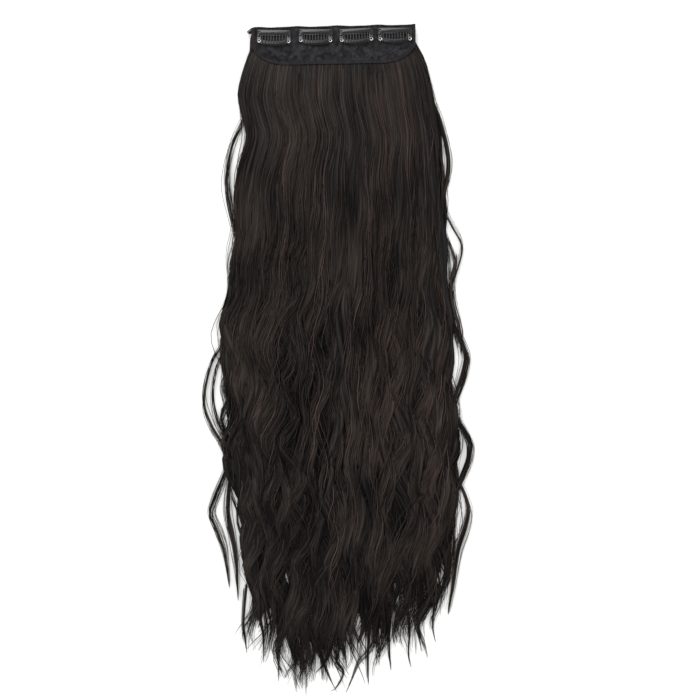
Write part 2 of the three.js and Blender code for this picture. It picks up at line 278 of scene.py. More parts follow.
# Locks of one clump share a wave, draw together, part again and end in one point
clump = {
    "counts": (9, 12, 15),  # across the hair, for each depth from the floor up
    "short": ((15, 45), (5, 34), (0, 24)),
    "long": (0.8, 1.3),  # shares of the wave's length and size
    "size": (0.5, 1.3),
    "pinch": 0.5,  # how far its locks draw together along the way, and how often beside the wave
    "pinchPace": 0.7,
    "gather": 75,  # the length over which it draws to its point, how far and how suddenly
    "point": 0.78,
    "pointCurve": 1.3,
    "wander": 0.012,  # its slow drift to the sides, which sets in over wanderOver
    "wanderLong": 80,
    "wanderOver": 200,
    "roamLong": 45,  # a single lock's drift in it
    "roamOver": 120,
    "roamShift": 60,
    "within": (-0.02, 1.02),  # of the hair's width
    "overtone": (0.16, 0.6),  # size and shift of a second wave of half the length
    "edgeCalm": 0.4,  # less wave at the hair's edges
    "edgeHigh": 0.25,  # the hair's height at its edges beside the middle
    "rounded": 0.26,  # of its own section
    "heave": 1.3,  # mm that a crest lifts
    "shade": 0.07,  # painted highlight on a crest, painted shade in its trough
    "tipShade": 0.09,  # the hair grows darker towards its tips, over this stretch
    "tipShadeFrom": 330,
    "tipShadeOver": 220,
}


def makeClumps(count, short):
    place = (np.arange(count) + 0.5 + dice.uniform(-0.25, 0.25, count)) / count
    return {
        "place": place,
        "pitch": 1 / count,
        "phase": dice.uniform(0, 2 * np.pi, count),
        "long": hair["waveLength"] * dice.uniform(*clump["long"], count),
        "size": dice.uniform(*clump["size"], count),
        "sway": dice.uniform(0, 2 * np.pi, count),
        "end": endAt(place) - dice.uniform(*short, count),
    }


clumps = [makeClumps(count, short) for count, short in zip(clump["counts"], clump["short"])]


def clumpAt(across, layer):
    return np.argmin(np.abs(clumps[layer]["place"] - across))


# Grows from 0 to 1 over a length down the hair that starts at begin
def setIn(y, over, begin=0):
    return np.clip((-y - begin) / over, 0, 1)


# The middle line of a lock at across, from 0 at the left edge to 1, with its lift as a share of the
# hair's depth there. swing shifts its wave, roam lets it wander across its clump.
def lockLine(y, across, lift, high, layer, swing=0.0, roam=0.0, size=1.0):
    left, right, thick, wave, crown = hairAt(y)
    row, k = clumps[layer], clumpAt(across, layer)
    offset = across - row["place"][k]
    turn = 2 * np.pi * y / row["long"][k] + row["phase"][k] + swing
    drawn = 1 - clump["pinch"] * wave * (0.5 + 0.5 * np.sin(clump["pinchPace"] * turn + row["sway"][k]))
    gather = np.clip((-y - row["end"][k] + clump["gather"]) / clump["gather"], 0, 1)
    drawn = drawn * (1 - clump["point"] * gather ** clump["pointCurve"])
    drift = clump["wander"] * np.sin(y / clump["wanderLong"] + row["sway"][k])
    own = roam * np.sin(y / clump["roamLong"] + clump["roamShift"] * across)
    wander = drift * setIn(y, clump["wanderOver"]) + own * setIn(y, clump["roamOver"])
    place = np.clip(row["place"][k] + offset * drawn + wander, *clump["within"])
    aside = np.abs(2 * across - 1)  # from 0 in the hair's middle to 1 at its edges
    reach = wave * hair["waveSize"] * size * row["size"][k] * (1 - clump["edgeCalm"] * aside ** 6)
    overtone, shift = clump["overtone"]
    x = left + (right - left) * place + reach * (np.sin(turn) + overtone * np.sin(2 * turn + shift))
    arch = clump["edgeHigh"] + (1 - clump["edgeHigh"]) * np.sqrt(np.clip(1 - aside ** 4, 0, 1))
    top = thick * (1 + (arch - 1) * crown)
    rounded = 1 - clump["rounded"] * np.clip(wave + 0.1, 0, 1) * (2 * offset / row["pitch"]) ** 2
    heave = clump["heave"] * wave * np.cos(turn)
    z = high + lift * rounded * np.clip(top - 2 * high, 0, None) + heave * lift
    z = np.maximum(z, high * hair["restHigh"] + clearOfFloor)
    return np.stack([x, y + 0 * x, z], axis=1), turn, wave


# How a lock's tone changes along it: a painted highlight on each crest of its wave, painted shade in each
# trough, and darker towards the tips
def paintedWaveShade(y, turn, wave):
    darker = clump["tipShade"] * setIn(y, clump["tipShadeOver"], clump["tipShadeFrom"])
    return clump["shade"] * wave * np.cos(turn) - darker


def roundSection(sides):
    angle = 2 * np.pi * np.arange(sides) / sides
    return np.stack([np.cos(angle), np.sin(angle)], axis=1)


def ridgedSection(sides, depth):
    bump = 1 + depth * (np.arange(sides) % 2) * (0.5 + 0.5 * dice.random(sides))
    return roundSection(sides) * bump[:, None]


patternShift = (0, 20)  # of a strand's fibre pattern, in UV units


# One strand or lock as a closed tube: its line, half width along it, section, shift of its fibre
# pattern, tone and warmth for the material, half height if that differs, and turn about its line
def tube(line, half, section, shift, tone, warmth, high=None, roll=0.0):
    return {"line": line, "half": half, "high": half if high is None else high, "section": section,
            "shift": shift, "tone": tone, "warmth": warmth, "roll": roll}


# Joins many tubes into one mesh
def meshOfTubes(name, tubes, material, place=hairPlace):
    points, faces, uvs, tones, warmths = [], [], [], [], []
    first = 0
    for one in tubes:
        line, section = one["line"], one["section"]
        rings, sides = len(line), len(section)
        along = np.gradient(line, axis=0)
        along /= np.linalg.norm(along, axis=1)[:, None]
        up = np.array([0, 0, 1.0]) - along[:, 2:3] * along
        up /= np.linalg.norm(up, axis=1)[:, None]
        side = np.cross(up, along)
        roll = np.broadcast_to(one["roll"], rings)[:, None]
        side, up = side * np.cos(roll) + up * np.sin(roll), up * np.cos(roll) - side * np.sin(roll)
        half = np.broadcast_to(one["half"], rings)[:, None, None]
        high = np.broadcast_to(one["high"], rings)[:, None, None]
        ring = line[:, None, :] + side[:, None, :] * half * section[None, :, :1]
        ring = ring + up[:, None, :] * high * section[None, :, 1:]
        ring[:, :, 2] = np.maximum(ring[:, :, 2], clearOfFloor)  # what would sink lies flat on the surface
        points.append(ring.reshape(-1, 3))
        i, k = np.meshgrid(np.arange(rings - 1), np.arange(sides), indexing="ij")
        a, b = first + i * sides + k, first + i * sides + (k + 1) % sides
        faces += np.stack([a, b, b + sides, a + sides], axis=-1).reshape(-1, 4).tolist()
        faces.append(list(range(first + sides - 1, first - 1, -1)))
        faces.append(list(range(first + (rings - 1) * sides, first + rings * sides)))
        girth = 4 * np.max(one["half"]) / uvLength
        length = np.concatenate([[0], np.cumsum(np.linalg.norm(np.diff(line, axis=0), axis=1))]) / uvLength
        shift = one["shift"]
        u0, v0 = shift + girth * k / sides, shift + length[i]
        u1, v1 = shift + girth * (k + 1) / sides, shift + length[i + 1]
        uvs.append(np.stack([u0, v0, u1, v0, u1, v1, u0, v1], axis=-1).reshape(-1))
        uvs.append(np.tile([shift, shift], 2 * sides))
        tones.append(np.repeat(np.broadcast_to(one["tone"], rings), sides))
        warmths.append(np.full(rings * sides, one["warmth"]))
        first += rings * sides
    mesh = bpy.data.meshes.new(name)
    mesh.from_pydata(np.concatenate(points).tolist(), [], faces)
    mesh.transform(place)
    layer = mesh.uv_layers.new(name="strand")
    layer.data.foreach_set("uv", np.concatenate(uvs).astype(np.float32))
    setValues(mesh, "tone", np.concatenate(tones))
    setValues(mesh, "warmth", np.concatenate(warmths))
    mesh.shade_smooth()
    mesh.materials.append(material)
    obj = addObject(name, mesh)
    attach(obj, "root")
    print(" ", name, len(tubes), "tubes,", sum(len(f) - 2 for f in faces), "triangles")
    return obj


fibre = {
    "dark": "#060404",
    "light": "#4b423c",
    "warm": "#4e3730",
    "streak": (1.5, 70),  # across and along the fibres, as coarse as shows, where a real one is 0.08 wide
    "fine": (0.6, 40),
    "paintedShadePatch": (34, 70),  # of the painted light and shade: slow patches of lit and shaded hair
    "relief": 0.12,
    "roughness": 0.4,
    "ior": 1.52,
}


# Modacrylic fibre, extruded and heat-set in waves: satin, brightest across the strands
def modacrylic():
    material, tree = startMaterial("modacrylic fibre")
    strandMap = addNode(tree, "UVMap", {"uv_map": "strand"})
    streaks = []
    for wide, long in (fibre["streak"], fibre["fine"]):
        scaled = addNode(tree, "Mapping", {"Scale": (uvLength / wide, uvLength / long, 1)},
                         {"Vector": strandMap.outputs["UV"]})
        streaks.append(
            addNode(tree, "TexNoise", {"Scale": 1.0, "Detail": 2.0, "noise_dimensions": "2D"},
                    {"Vector": scaled.outputs["Vector"]}).outputs["Fac"]
        )
    tone = addNode(tree, "Attribute", {"attribute_name": "tone"}).outputs["Fac"]
    warmth = addNode(tree, "Attribute", {"attribute_name": "warmth"}).outputs["Fac"]
    both = addNode(tree, "Math", {"operation": "MULTIPLY_ADD", 1: 0.45}, {0: streaks[1], 2: streaks[0]})
    spread = addNode(tree, "MapRange", {"From Min": 0.54, "From Max": 0.95, "To Max": 0.42},
                     {"Value": both.outputs[0]})
    wide, long = fibre["paintedShadePatch"]
    place = addNode(tree, "TexCoord")
    shadePatches = addNode(tree, "Mapping", {"Scale": (1 / (wide * mm), 1 / (long * mm), 1 / (wide * mm))},
                      {"Vector": place.outputs["Object"]})
    # Painted light and shade: slow patches that lighten or darken the hair's colour
    cloud = addNode(tree, "TexNoise", {"Scale": 1.0, "Detail": 1.0}, {"Vector": shadePatches.outputs["Vector"]})
    shade = addNode(tree, "MapRange", {"From Min": 0.35, "From Max": 0.65, "To Min": -0.17, "To Max": 0.11},
                    {"Value": cloud.outputs["Fac"]})
    toned = addNode(tree, "Math", {"operation": "ADD"}, {0: tone, 1: shade.outputs[0]})
    share = addNode(tree, "Math", {"operation": "ADD", "use_clamp": True},
                    {0: spread.outputs[0], 1: toned.outputs[0]})
    lit = addNode(tree, "Mix", {"data_type": "RGBA", 6: fromHex(fibre["light"]), 7: fromHex(fibre["warm"])},
                  {0: warmth})
    colour = addNode(tree, "Mix", {"data_type": "RGBA", 6: fromHex(fibre["dark"])},
                     {0: share.outputs[0], 7: lit.outputs[2]})
    bump = addNode(tree, "Bump", {"Strength": 0.6, "Distance": fibre["relief"] * mm},
                   {"Height": both.outputs[0]})
    tangent = addNode(tree, "Tangent", {"direction_type": "UV_MAP", "uv_map": "strand"})
    shader = addNode(
        tree, "BsdfPrincipled",
        {"Roughness": fibre["roughness"], "IOR": fibre["ior"], "Anisotropic": 0.7,
         "Specular IOR Level": 0.12},
        {"Base Color": colour.outputs[2], "Normal": bump.outputs[0], "Tangent": tangent.outputs[0]},
    )
    addNode(tree, "OutputMaterial", {}, {"Surface": shader.outputs["BSDF"]})
    return material


hairFibre = modacrylic()

# one row for each layer of locks, from the floor up; the lower layers' tone is painted shade, darker the
# deeper they lie
lockLayers = (
    {"count": 27, "half": 6.6, "high": 1.7, "lift": 0.2, "sides": 8, "short": (8, 40), "tone": -0.18},
    {"count": 40, "half": 5.0, "high": 1.6, "lift": 0.6, "sides": 9, "short": (8, 45), "tone": -0.09},
    {"count": 56, "half": 3.9, "high": 1.4, "lift": 0.95, "sides": 10, "short": (8, 60), "tone": 0.0},
)
topLayer = len(lockLayers) - 1


# Half a lock's width along it, which thins to least of it at the end
def taperedHalf(y, end, half, least=0.06):
    left = np.clip((y + end) / hair["taper"], 0, 1)
    return half * (least + (1 - least) * left ** 0.65)


lock = {
    "jitter": 0.3,
    "within": (0.015, 0.985),
    "early": 0.25,  # share of the top layer's locks that end early, at earlyAt of their length
    "earlyAt": (0.62, 0.92),
    "rootHigh": 0.45,  # flatter under the flap, and full over rootOver from rootFrom
    "rootFrom": 20,
    "rootOver": 60,
    "swing": 0.4,
    "roam": 0.006,
    "size": (0.8, 1.2),  # of its wave
    "broad": (0.75, 1.25),
    "breath": 0.25,  # how much it swells and thins along its length, and how fast
    "breathLong": 31,
    "ridge": 0.3,
    "roll": 0.4,  # radians that it turns with the wave
    "tone": 0.06,
}
rollShift = 1.2


def lockTubes(layer, kind):
    tubes = []
    for n in range(kind["count"]):
        jitter = dice.uniform(-lock["jitter"], lock["jitter"])
        across = np.clip((n + 0.5 + jitter) / kind["count"], *lock["within"])
        end = clumps[layer]["end"][clumpAt(across, layer)] - dice.uniform(*kind["short"])
        if layer == topLayer and dice.random() < lock["early"]:
            end *= dice.uniform(*lock["earlyAt"])
        y = np.linspace(-hair["rootFrom"], -end, int(end / hair["step"]))
        high = taperedHalf(y, end, kind["high"], 0.1)
        high *= lock["rootHigh"] + (1 - lock["rootHigh"]) * setIn(y, lock["rootOver"], lock["rootFrom"])
        line, turn, wave = lockLine(y, across, kind["lift"], high, layer, dice.normal(0, lock["swing"]),
                                    lock["roam"], dice.uniform(*lock["size"]))
        breath = 1 + lock["breath"] * np.sin(y / lock["breathLong"] + dice.uniform(0, 6)) * wave
        tubes.append(tube(
            line,
            taperedHalf(y, end, kind["half"] * dice.uniform(*lock["broad"])) * breath,
            ridgedSection(kind["sides"], lock["ridge"]),
            shift=dice.uniform(*patternShift),
            tone=kind["tone"] + dice.uniform(-lock["tone"], lock["tone"]) + paintedWaveShade(y, turn, wave),
            warmth=warmthAt(across),
            high=high,
            roll=lock["roll"] * wave * np.sin(turn + rollShift) * kind["lift"],
        ))
    return tubes


# Some strands are redder, more so towards the right
def warmthAt(across):
    return dice.random() ** 2 * (0.3 + 0.4 * np.clip(across, 0, 1))


strand = {
    "top": 0.68,  # share that lies on the top layer, the rest on the one below, lower and in painted shade
    "lowerLift": 0.75,
    "lowerPaintedShade": 0.06,
    "within": (-0.015, 1.015),
    "earlyAt": (0.5, 0.95),
    "rooted": 0.8,  # share that starts at the root, the rest at late or at most at latest of its length
    "late": (60, 300),
    "latest": 0.6,
    "swing": 0.35,
    "straySwing": 1.6,
    "roam": (0.0, 0.03),
    "size": (0.8, 1.25),  # of its wave
    "edge": 0.44,  # from the middle, past which some leave the body and come back
    "looseLong": (22, 50),
    "loose": (0.1, 1),
    "looseFrom": 40,
    "looseOver": 60,
    "underFlap": 4.9,  # its height there, until it comes out over outOver from outFrom
    "outFrom": 34,
    "outOver": 12,
    "paintedGlint": 0.4,
    "thin": 0.15,  # at its end
    "roll": 0.5,
}


# Thin strands over the locks
def strandTubes(kind):
    tubes = []
    for _ in range(kind["count"]):
        layer = topLayer if dice.random() < strand["top"] else topLayer - 1
        across = dice.uniform(*strand["within"])
        end = clumps[layer]["end"][clumpAt(across, layer)] - kind["short"] * dice.random() ** 1.5
        if dice.random() < kind["early"]:
            end *= dice.uniform(*strand["earlyAt"])
        begin = kind["begin"] if dice.random() < strand["rooted"] else dice.uniform(*strand["late"])
        begin = min(begin, strand["latest"] * end)
        y = np.linspace(-begin, -end, int((end - begin) / kind["step"]))
        size = dice.uniform(*kind["half"])
        lift = dice.uniform(*kind["lift"]) * (1 if layer == topLayer else strand["lowerLift"])
        swing = strand["straySwing"] if dice.random() < kind["stray"] else strand["swing"]
        line, turn, wave = lockLine(y, across, lift, size, layer, dice.normal(0, swing),
                                    dice.uniform(*strand["roam"]), dice.uniform(*strand["size"]))
        if abs(across - 0.5) > strand["edge"]:
            loose = np.clip(np.sin(y / dice.uniform(*strand["looseLong"]) + dice.uniform(0, 6)), 0, 1)
            loose *= setIn(y, strand["looseOver"], strand["looseFrom"]) * dice.uniform(*strand["loose"])
            line[:, 0] += np.sign(across - 0.5) * kind["fray"] * loose
        out = setIn(y, strand["outOver"], strand["outFrom"])
        line[:, 2] = np.minimum(line[:, 2], strand["underFlap"] - size + out * 20)
        # some strands get a painted highlight, a glint along their whole length
        paintedGlint = strand["paintedGlint"] if dice.random() < kind["paintedGlint"] else 0
        # painted shade on strands of the layer below
        darker = 0 if layer == topLayer else strand["lowerPaintedShade"]
        tubes.append(tube(
            line,
            taperedHalf(y, end, size, strand["thin"]),
            roundSection(kind["sides"]),
            shift=dice.uniform(*patternShift),
            tone=dice.uniform(*kind["tone"]) + paintedGlint - darker + paintedWaveShade(y, turn, wave),
            warmth=warmthAt(across),
            high=taperedHalf(y, end, size * kind["flat"], strand["thin"]),
            roll=strand["roll"] * wave * np.sin(turn + rollShift),
        ))
    return tubes


bundles = {
    "count": 440,
    "half": (0.4, 1.3),
    "flat": 0.6,
    "sides": 4,
    "step": 8,
    "begin": 5,
    "short": 70,  # mm that it may end before its clump
    "early": 0.25,  # share that ends early, as for the locks
    "lift": (0.9, 1.08),
    "stray": 0.1,  # share that swings out of its clump
    "fray": 0,  # mm that it may leave the hair's edge
    "tone": (-0.16, 0.14),
    "paintedGlint": 0.03,  # share of strands with a painted highlight
}
threads = {
    "count": 760,
    "half": (0.18, 0.42),
    "flat": 1.0,
    "sides": 3,
    "step": 8.5,
    "begin": 20,
    "short": 80,
    "early": 0.3,
    "lift": (1.0, 1.14),
    "stray": 0.35,
    "fray": 7,
    "tone": (-0.15, 0.25),
    "paintedGlint": 0.16,
}

# Locks that stray from the body's sides: how far the strands lie apart, how many are thick and how many
# thin, and the route, as shares of the half width across and of the length down
sideLocks = (
    (2.5, 4, 14, ((-0.82, 0.138), (-0.94, 0.185), (-0.975, 0.237), (-0.93, 0.287), (-0.87, 0.327))),
    (1.3, 1, 12, ((-0.87, 0.312), (-0.945, 0.364), (-0.92, 0.42))),
    (0.9, 2, 9, ((-0.98, 0.468), (-1.12, 0.507), (-1.19, 0.561), (-1.12, 0.6), (-0.99, 0.638),
        (-0.95, 0.68))),
    (1.5, 1, 12, ((-0.98, 0.475), (-1.08, 0.517), (-1.11, 0.558), (-1.06, 0.595), (-0.96, 0.632))),
    (1.6, 1, 9, ((-0.95, 0.5), (-1.02, 0.535), (-0.98, 0.565), (-1.03, 0.595), (-0.95, 0.635))),
    (2.2, 3, 20, ((-0.95, 0.64), (-0.995, 0.671), (-1.08, 0.708), (-1.12, 0.732), (-1.06, 0.758),
        (-0.995, 0.79), (-0.955, 0.84))),
    (2.2, 10, 12, ((-0.88, 0.64), (-0.95, 0.684), (-0.965, 0.732), (-0.925, 0.769), (-0.89, 0.806),
        (-0.875, 0.855))),
    (1.2, 1, 5, ((-0.93, 0.7), (-0.88, 0.722), (-0.87, 0.745), (-0.82, 0.77), (-0.8, 0.8))),
    (2.1, 11, 8, ((0.86, 0.09), (0.94, 0.123), (1.02, 0.163), (1.06, 0.203), (1.05, 0.231), (1.0, 0.26),
        (0.95, 0.3))),
    (1.2, 2, 6, ((0.9, 0.165), (0.965, 0.187), (0.995, 0.216), (0.99, 0.244), (0.98, 0.275))),
    (0.8, 1, 6, ((0.97, 0.255), (1.075, 0.293), (1.165, 0.319), (1.175, 0.335), (1.13, 0.362),
        (1.07, 0.39))),
    (1.4, 1, 9, ((0.98, 0.29), (1.04, 0.319), (1.1, 0.345), (1.115, 0.36), (1.07, 0.385))),
    (1.8, 5, 14, ((1.13, 0.345), (1.095, 0.375), (1.085, 0.4), (1.11, 0.425), (1.16, 0.455),
        (1.17, 0.49))),
    (2.4, 0, 20, ((0.98, 0.3), (1.03, 0.34), (1.03, 0.38), (1.04, 0.41), (1.09, 0.445), (1.14, 0.475))),
    (2.4, 9, 14, ((1.03, 0.43), (1.13, 0.457), (1.19, 0.478), (1.215, 0.497), (1.18, 0.526),
        (1.12, 0.556), (1.06, 0.59))),
    (2.3, 9, 16, ((1.06, 0.56), (1.14, 0.59), (1.21, 0.61), (1.255, 0.629), (1.235, 0.655), (1.17, 0.682),
        (1.1, 0.71))),
    (2.3, 9, 16, ((1.08, 0.675), (1.18, 0.695), (1.235, 0.726), (1.21, 0.75), (1.15, 0.78), (1.12, 0.809),
        (1.1, 0.835), (1.05, 0.88))),
)

# The longest wisps at the tips, each a route as above
wisps = (
    ((-0.8, 0.84), (-0.825, 0.892), (-0.81, 0.917), (-0.795, 0.944)),
    ((-0.68, 0.84), (-0.675, 0.884), (-0.645, 0.915), (-0.645, 0.957)),
    ((-0.5, 0.86), (-0.49, 0.906), (-0.505, 0.942), (-0.51, 0.985)),
    ((-0.36, 0.88), (-0.355, 0.93), (-0.36, 0.967), (-0.335, 1.003)),
    ((-0.32, 0.88), (-0.295, 0.93), (-0.255, 0.968), (-0.25, 1.006)),
    ((-0.24, 0.88), (-0.19, 0.922), (-0.115, 0.947), (-0.04, 0.975), (0.035, 1.0)),
    ((0.02, 0.88), (-0.03, 0.93), (-0.09, 0.955), (-0.19, 0.973)),
    ((0.05, 0.88), (0.05, 0.93), (0.02, 0.952), (0.09, 0.968), (0.025, 0.99), (-0.03, 0.997)),
    ((0.42, 0.88), (0.355, 0.925), (0.235, 0.95), (0.175, 0.974), (0.105, 1.003)),
    ((0.33, 0.88), (0.31, 0.93), (0.31, 0.967), (0.32, 0.989)),
    ((0.5, 0.87), (0.505, 0.93), (0.52, 0.954), (0.53, 0.973)),
    ((0.66, 0.85), (0.7, 0.9), (0.69, 0.94), (0.72, 0.965)),
    ((0.9, 0.82), (0.93, 0.86), (0.91, 0.9), (0.94, 0.925)),
)
wisp = {
    "points": 26,
    "strands": 9,
    "half": (0.2, 0.55),
    "spread": 1.6,
    "slide": 3,
    "last": (0.72, 1.0),  # share of the route that a strand follows
    "thins": 0.75,  # share of its size that it loses to its end, and by which the strands draw together
    "lift": (0.6, 4),
    "sinks": 0.8,
    "tone": (-0.2, 0.05),
    "warmth": 0.3,
}


def wispTubes():
    tubes = []
    for points in wisps:
        route = smoothRoute(points, wisp["points"]) * (hair["halfWidth"], -hair["length"])
        t = np.linspace(0, 1, len(route))
        for _ in range(wisp["strands"]):
            size = dice.uniform(*wisp["half"])
            along = t * dice.uniform(*wisp["last"])
            x = np.interp(along, t, route[:, 0]) + dice.normal(0, wisp["spread"]) * (1 - wisp["thins"] * t)
            y = np.interp(along, t, route[:, 1]) + dice.normal(0, wisp["slide"]) * (1 - t)
            z = 1.4 * size + dice.uniform(*wisp["lift"]) * (1 - wisp["sinks"] * t)
            tubes.append(tube(
                np.stack([x, y, z], axis=1), size * (1 - wisp["thins"] * t ** 1.5), roundSection(4),
                dice.uniform(*patternShift), dice.uniform(*wisp["tone"]), wisp["warmth"] * dice.random(),
            ))
    return tubes


# thick and thin strands of a side lock: away is their share of its spread, curl their own wave in mm
sideCore = {"half": (0.45, 0.95), "sides": 5, "away": 0.55, "curl": 0.25}
sideStrand = {"half": (0.12, 0.3), "sides": 3, "away": 0.85, "curl": 0.6}
sideLock = {
    "points": 44,
    "loose": 0.3,  # share of the strands that stand off outwards, by this many times the spread
    "outwards": (0.5, 2.2),
    "slide": 2.5,
    "curlLong": (7, 12),
    "lift": (0.3, 2.6),
    "tone": (-0.15, 0.15),
    "warmth": 0.4,
}


def sideTubes():
    tubes = []
    for spread, cores, strands, points in sideLocks:
        route = smoothRoute(points, sideLock["points"]) * (hair["halfWidth"], -hair["length"])
        t = np.linspace(0, 1, len(route))
        belly = np.sin(np.pi * t) ** 0.6
        fade = 0.3 + 0.7 * np.sin(np.pi * t) ** 0.5
        for n in range(cores + strands):
            kind = sideCore if n < cores else sideStrand
            away = dice.normal(0, kind["away"]) * spread
            if kind is sideStrand and dice.random() < sideLock["loose"]:
                away = np.sign(route[0, 0]) * dice.uniform(*sideLock["outwards"]) * spread
            size = dice.uniform(*kind["half"])
            slide = dice.normal(0, sideLock["slide"])
            curl = np.sin(route[:, 1] / dice.uniform(*sideLock["curlLong"]) + dice.uniform(0, 6))
            x = route[:, 0] + (away + kind["curl"] * curl) * belly
            z = 1.4 * size + 0.3 + dice.uniform(*sideLock["lift"]) * (0.6 + 0.4 * belly)
            tubes.append(tube(
                np.stack([x, route[:, 1] + slide, z], axis=1), size * fade, roundSection(kind["sides"]),
                dice.uniform(*patternShift), dice.uniform(*sideLock["tone"]),
                sideLock["warmth"] * dice.random(),
            ))
    return tubes


# Short fibres that stick out at the flap's upper left corner, each from x and y to its end
tuft = {"count": 38, "half": (0.2, 0.42), "x": -73.4, "y": (-7.5, -1.2), "endX": (-79.5, -76.9),
        "endY": (-7.0, -4.2), "z": (4.2, 3.0), "tone": (-0.1, 0.15), "warmth": 0.1}

# Strands that come out from under the flap's left side and run down into the hair
edgeStrands = {"count": 18, "half": (0.25, 0.5), "x": -73.4, "y": (-9, -3.5), "endY": -42,
               "out": (0.9, 2.9), "drift": 2.2, "z": (4.0, 3.4), "tone": (-0.1, 0.15), "warmth": 0.1}


def tuftTubes():
    tubes = []
    t, z = np.linspace(0, 1, 9), np.linspace(*tuft["z"], 9)
    for _ in range(tuft["count"]):
        startY, endX, endY = (dice.uniform(*tuft[name]) for name in ("y", "endX", "endY"))
        x = tuft["x"] + (endX - tuft["x"]) * t
        y = startY + (endY - startY) * t ** 1.4
        size = dice.uniform(*tuft["half"])
        tubes.append(tube(
            np.stack([x, y, z], axis=1), size * (1 - 0.7 * t), roundSection(3),
            dice.uniform(*patternShift), dice.uniform(*tuft["tone"]), tuft["warmth"],
        ))
    t, z = np.linspace(0, 1, 16), np.linspace(*edgeStrands["z"], 16)
    for _ in range(edgeStrands["count"]):
        y = np.linspace(dice.uniform(*edgeStrands["y"]), edgeStrands["endY"], 16)
        out = dice.uniform(*edgeStrands["out"]) * np.sin(np.clip(4 * t, 0, 1) * math.pi / 2)
        x = edgeStrands["x"] - out - edgeStrands["drift"] * t ** 2
        size = dice.uniform(*edgeStrands["half"])
        tubes.append(tube(
            np.stack([x, y, z], axis=1), size, roundSection(4),
            dice.uniform(*patternShift), dice.uniform(*edgeStrands["tone"]), edgeStrands["warmth"],
        ))
    return tubes


tips = {
    "count": 125,
    "points": 22,
    "top": 0.6,  # share that belongs to the top layer
    "strands": 6,
    "cores": 2,  # of the strands, thicker than the others
    "coreHalf": (0.5, 1.2),
    "half": (0.2, 0.46),
    "long": 130,
    "beyond": 20,  # mm past its clump's end, less a draw from short, but no further than last
    "short": 42,
    "last": (-8, 2),  # past the hair's length
    "uneven": 26,
    "spread": 5,
    "fray": (0.5, 2.4),
    "lean": 11,
    "swing": 0.4,
    "lift": (0.3, 1.0),
    "tone": (-0.15, 0.15),
}


# Wisps at the tips: strands that start spread out in the body and draw together to a point
def tipTubes():
    tubes = []
    t = np.linspace(0, 1, tips["points"])
    for n in range(tips["count"]):
        across = (n + dice.uniform(0, 1)) / tips["count"]
        layer = topLayer if dice.random() < tips["top"] else topLayer - 1
        reach = clumps[layer]["end"][clumpAt(across, layer)] + tips["beyond"] - tips["short"] * dice.random()
        reach = min(reach, hair["length"] + dice.uniform(*tips["last"]))
        swing, lift = dice.normal(0, tips["swing"]), dice.uniform(*tips["lift"])
        fray = dice.uniform(*tips["fray"])
        lean = dice.normal(0, tips["lean"])
        for m in range(tips["strands"]):
            end = reach - tips["uneven"] * dice.random() ** 1.3
            y = np.linspace(-reach + tips["long"], -end, tips["points"])
            size = dice.uniform(*tips["coreHalf" if m < tips["cores"] else "half"])
            line = lockLine(y, across, lift, size, layer, swing)[0]
            aside = dice.uniform(-tips["spread"], tips["spread"]) * (1 - t)
            line[:, 0] += aside + dice.normal(0, fray) * t + lean * t ** 3
            tubes.append(tube(
                line, taperedHalf(y, end, size, 0.2), roundSection(3),
                dice.uniform(*patternShift), dice.uniform(*tips["tone"]), warmthAt(across),
            ))
    return tubes


mass = {
    "from": 3.2,
    "length": 532,
    "taper": 80,
    "high": (0.49, 0.33),  # half height at the root and beyond it, as shares of the hair's thickness
    "inset": (2, 10),  # likewise, from the hair's edges
    "insetFrom": 30,
    "insetOver": 60,
}


# The inside of the hair, a low arch under all the locks, darkened as painted shade
def massTube():
    y = np.linspace(-mass["from"], -mass["length"], 80)
    left, right, thick, _, crown = hairAt(y)
    end = np.clip((y + mass["length"]) / mass["taper"], 0.02, 1) ** 0.5
    least, most = mass["inset"]
    inset = least + (most - least) * setIn(y, mass["insetOver"], mass["insetFrom"])
    rootHigh, fullHigh = mass["high"]
    high = thick * (rootHigh + (fullHigh - rootHigh) * crown) * (0.3 + 0.7 * end)
    line = np.stack([(left + right) / 2, y, high + 0.1], axis=1)
    circle = roundSection(28)
    boxy = np.sign(circle) * np.abs(circle) ** 0.4
    # its tone of -0.2 is painted shade
    return [tube(line, ((right - left) / 2 - inset) * end, boxy, 3.0, -0.2, 0, high=high)]


def addHair():
    inside = meshOfTubes("hairMass", massTube(), hairFibre)
    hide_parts("hair")
    for layer, kind in enumerate(lockLayers):
        meshOfTubes(f"hairLocks{layer + 1}", lockTubes(layer, kind), hairFibre)
    for name, kind in (("hairBundles", bundles), ("hairThreads", threads)):
        tubes = strandTubes(kind)
        half = len(tubes) // 2
        meshOfTubes(name + "1", tubes[:half], hairFibre)
        meshOfTubes(name + "2", tubes[half:], hairFibre)
    meshOfTubes("hairSideLocks", sideTubes() + tuftTubes(), hairFibre)
    meshOfTubes("hairTips", tipTubes() + wispTubes(), hairFibre)


addHair()

print("flap, hem and rolled edge")

cloth = {
    "dark": "#0b0b0c",
    "light": "#2f2f32",
    "thread": 0.8,  # weave spacing, as coarse as shows, where the real one is 0.25
    "relief": 0.12,
    "inset": 1.4,  # of the cloth's edge under the hem
    "top": -0.9,
    "grid": (330, 84),
    "thickness": 1.0,
    "surface": 6.45,  # height of its upper face
    "ripple": 0.12,
    "emboss": 0.2,
    "puckers": ((-36, 2.6), (2, 1.8), (5.5, 1.5), (38.5, 2.8)),  # place across and half width
}
hem = {
    "dark": "#100e10",
    "light": "#2b282b",
    "width": 3.0,
    "grid": (420, 10),
    "surface": 6.95,
    "thickness": 1.1,
    "stitch": 2.4,
    "stitchLine": 0.76,  # how far in from the outer edge the thread lies, as a share of the width
    "seam": 0.5,  # where the stitches run, from -1 at the outer edge to 1, and how wide they draw it in
    "seamHalf": 0.16,
}


wavesPerUnit = 0.314  # Scale of a wave texture whose bands are one unit apart
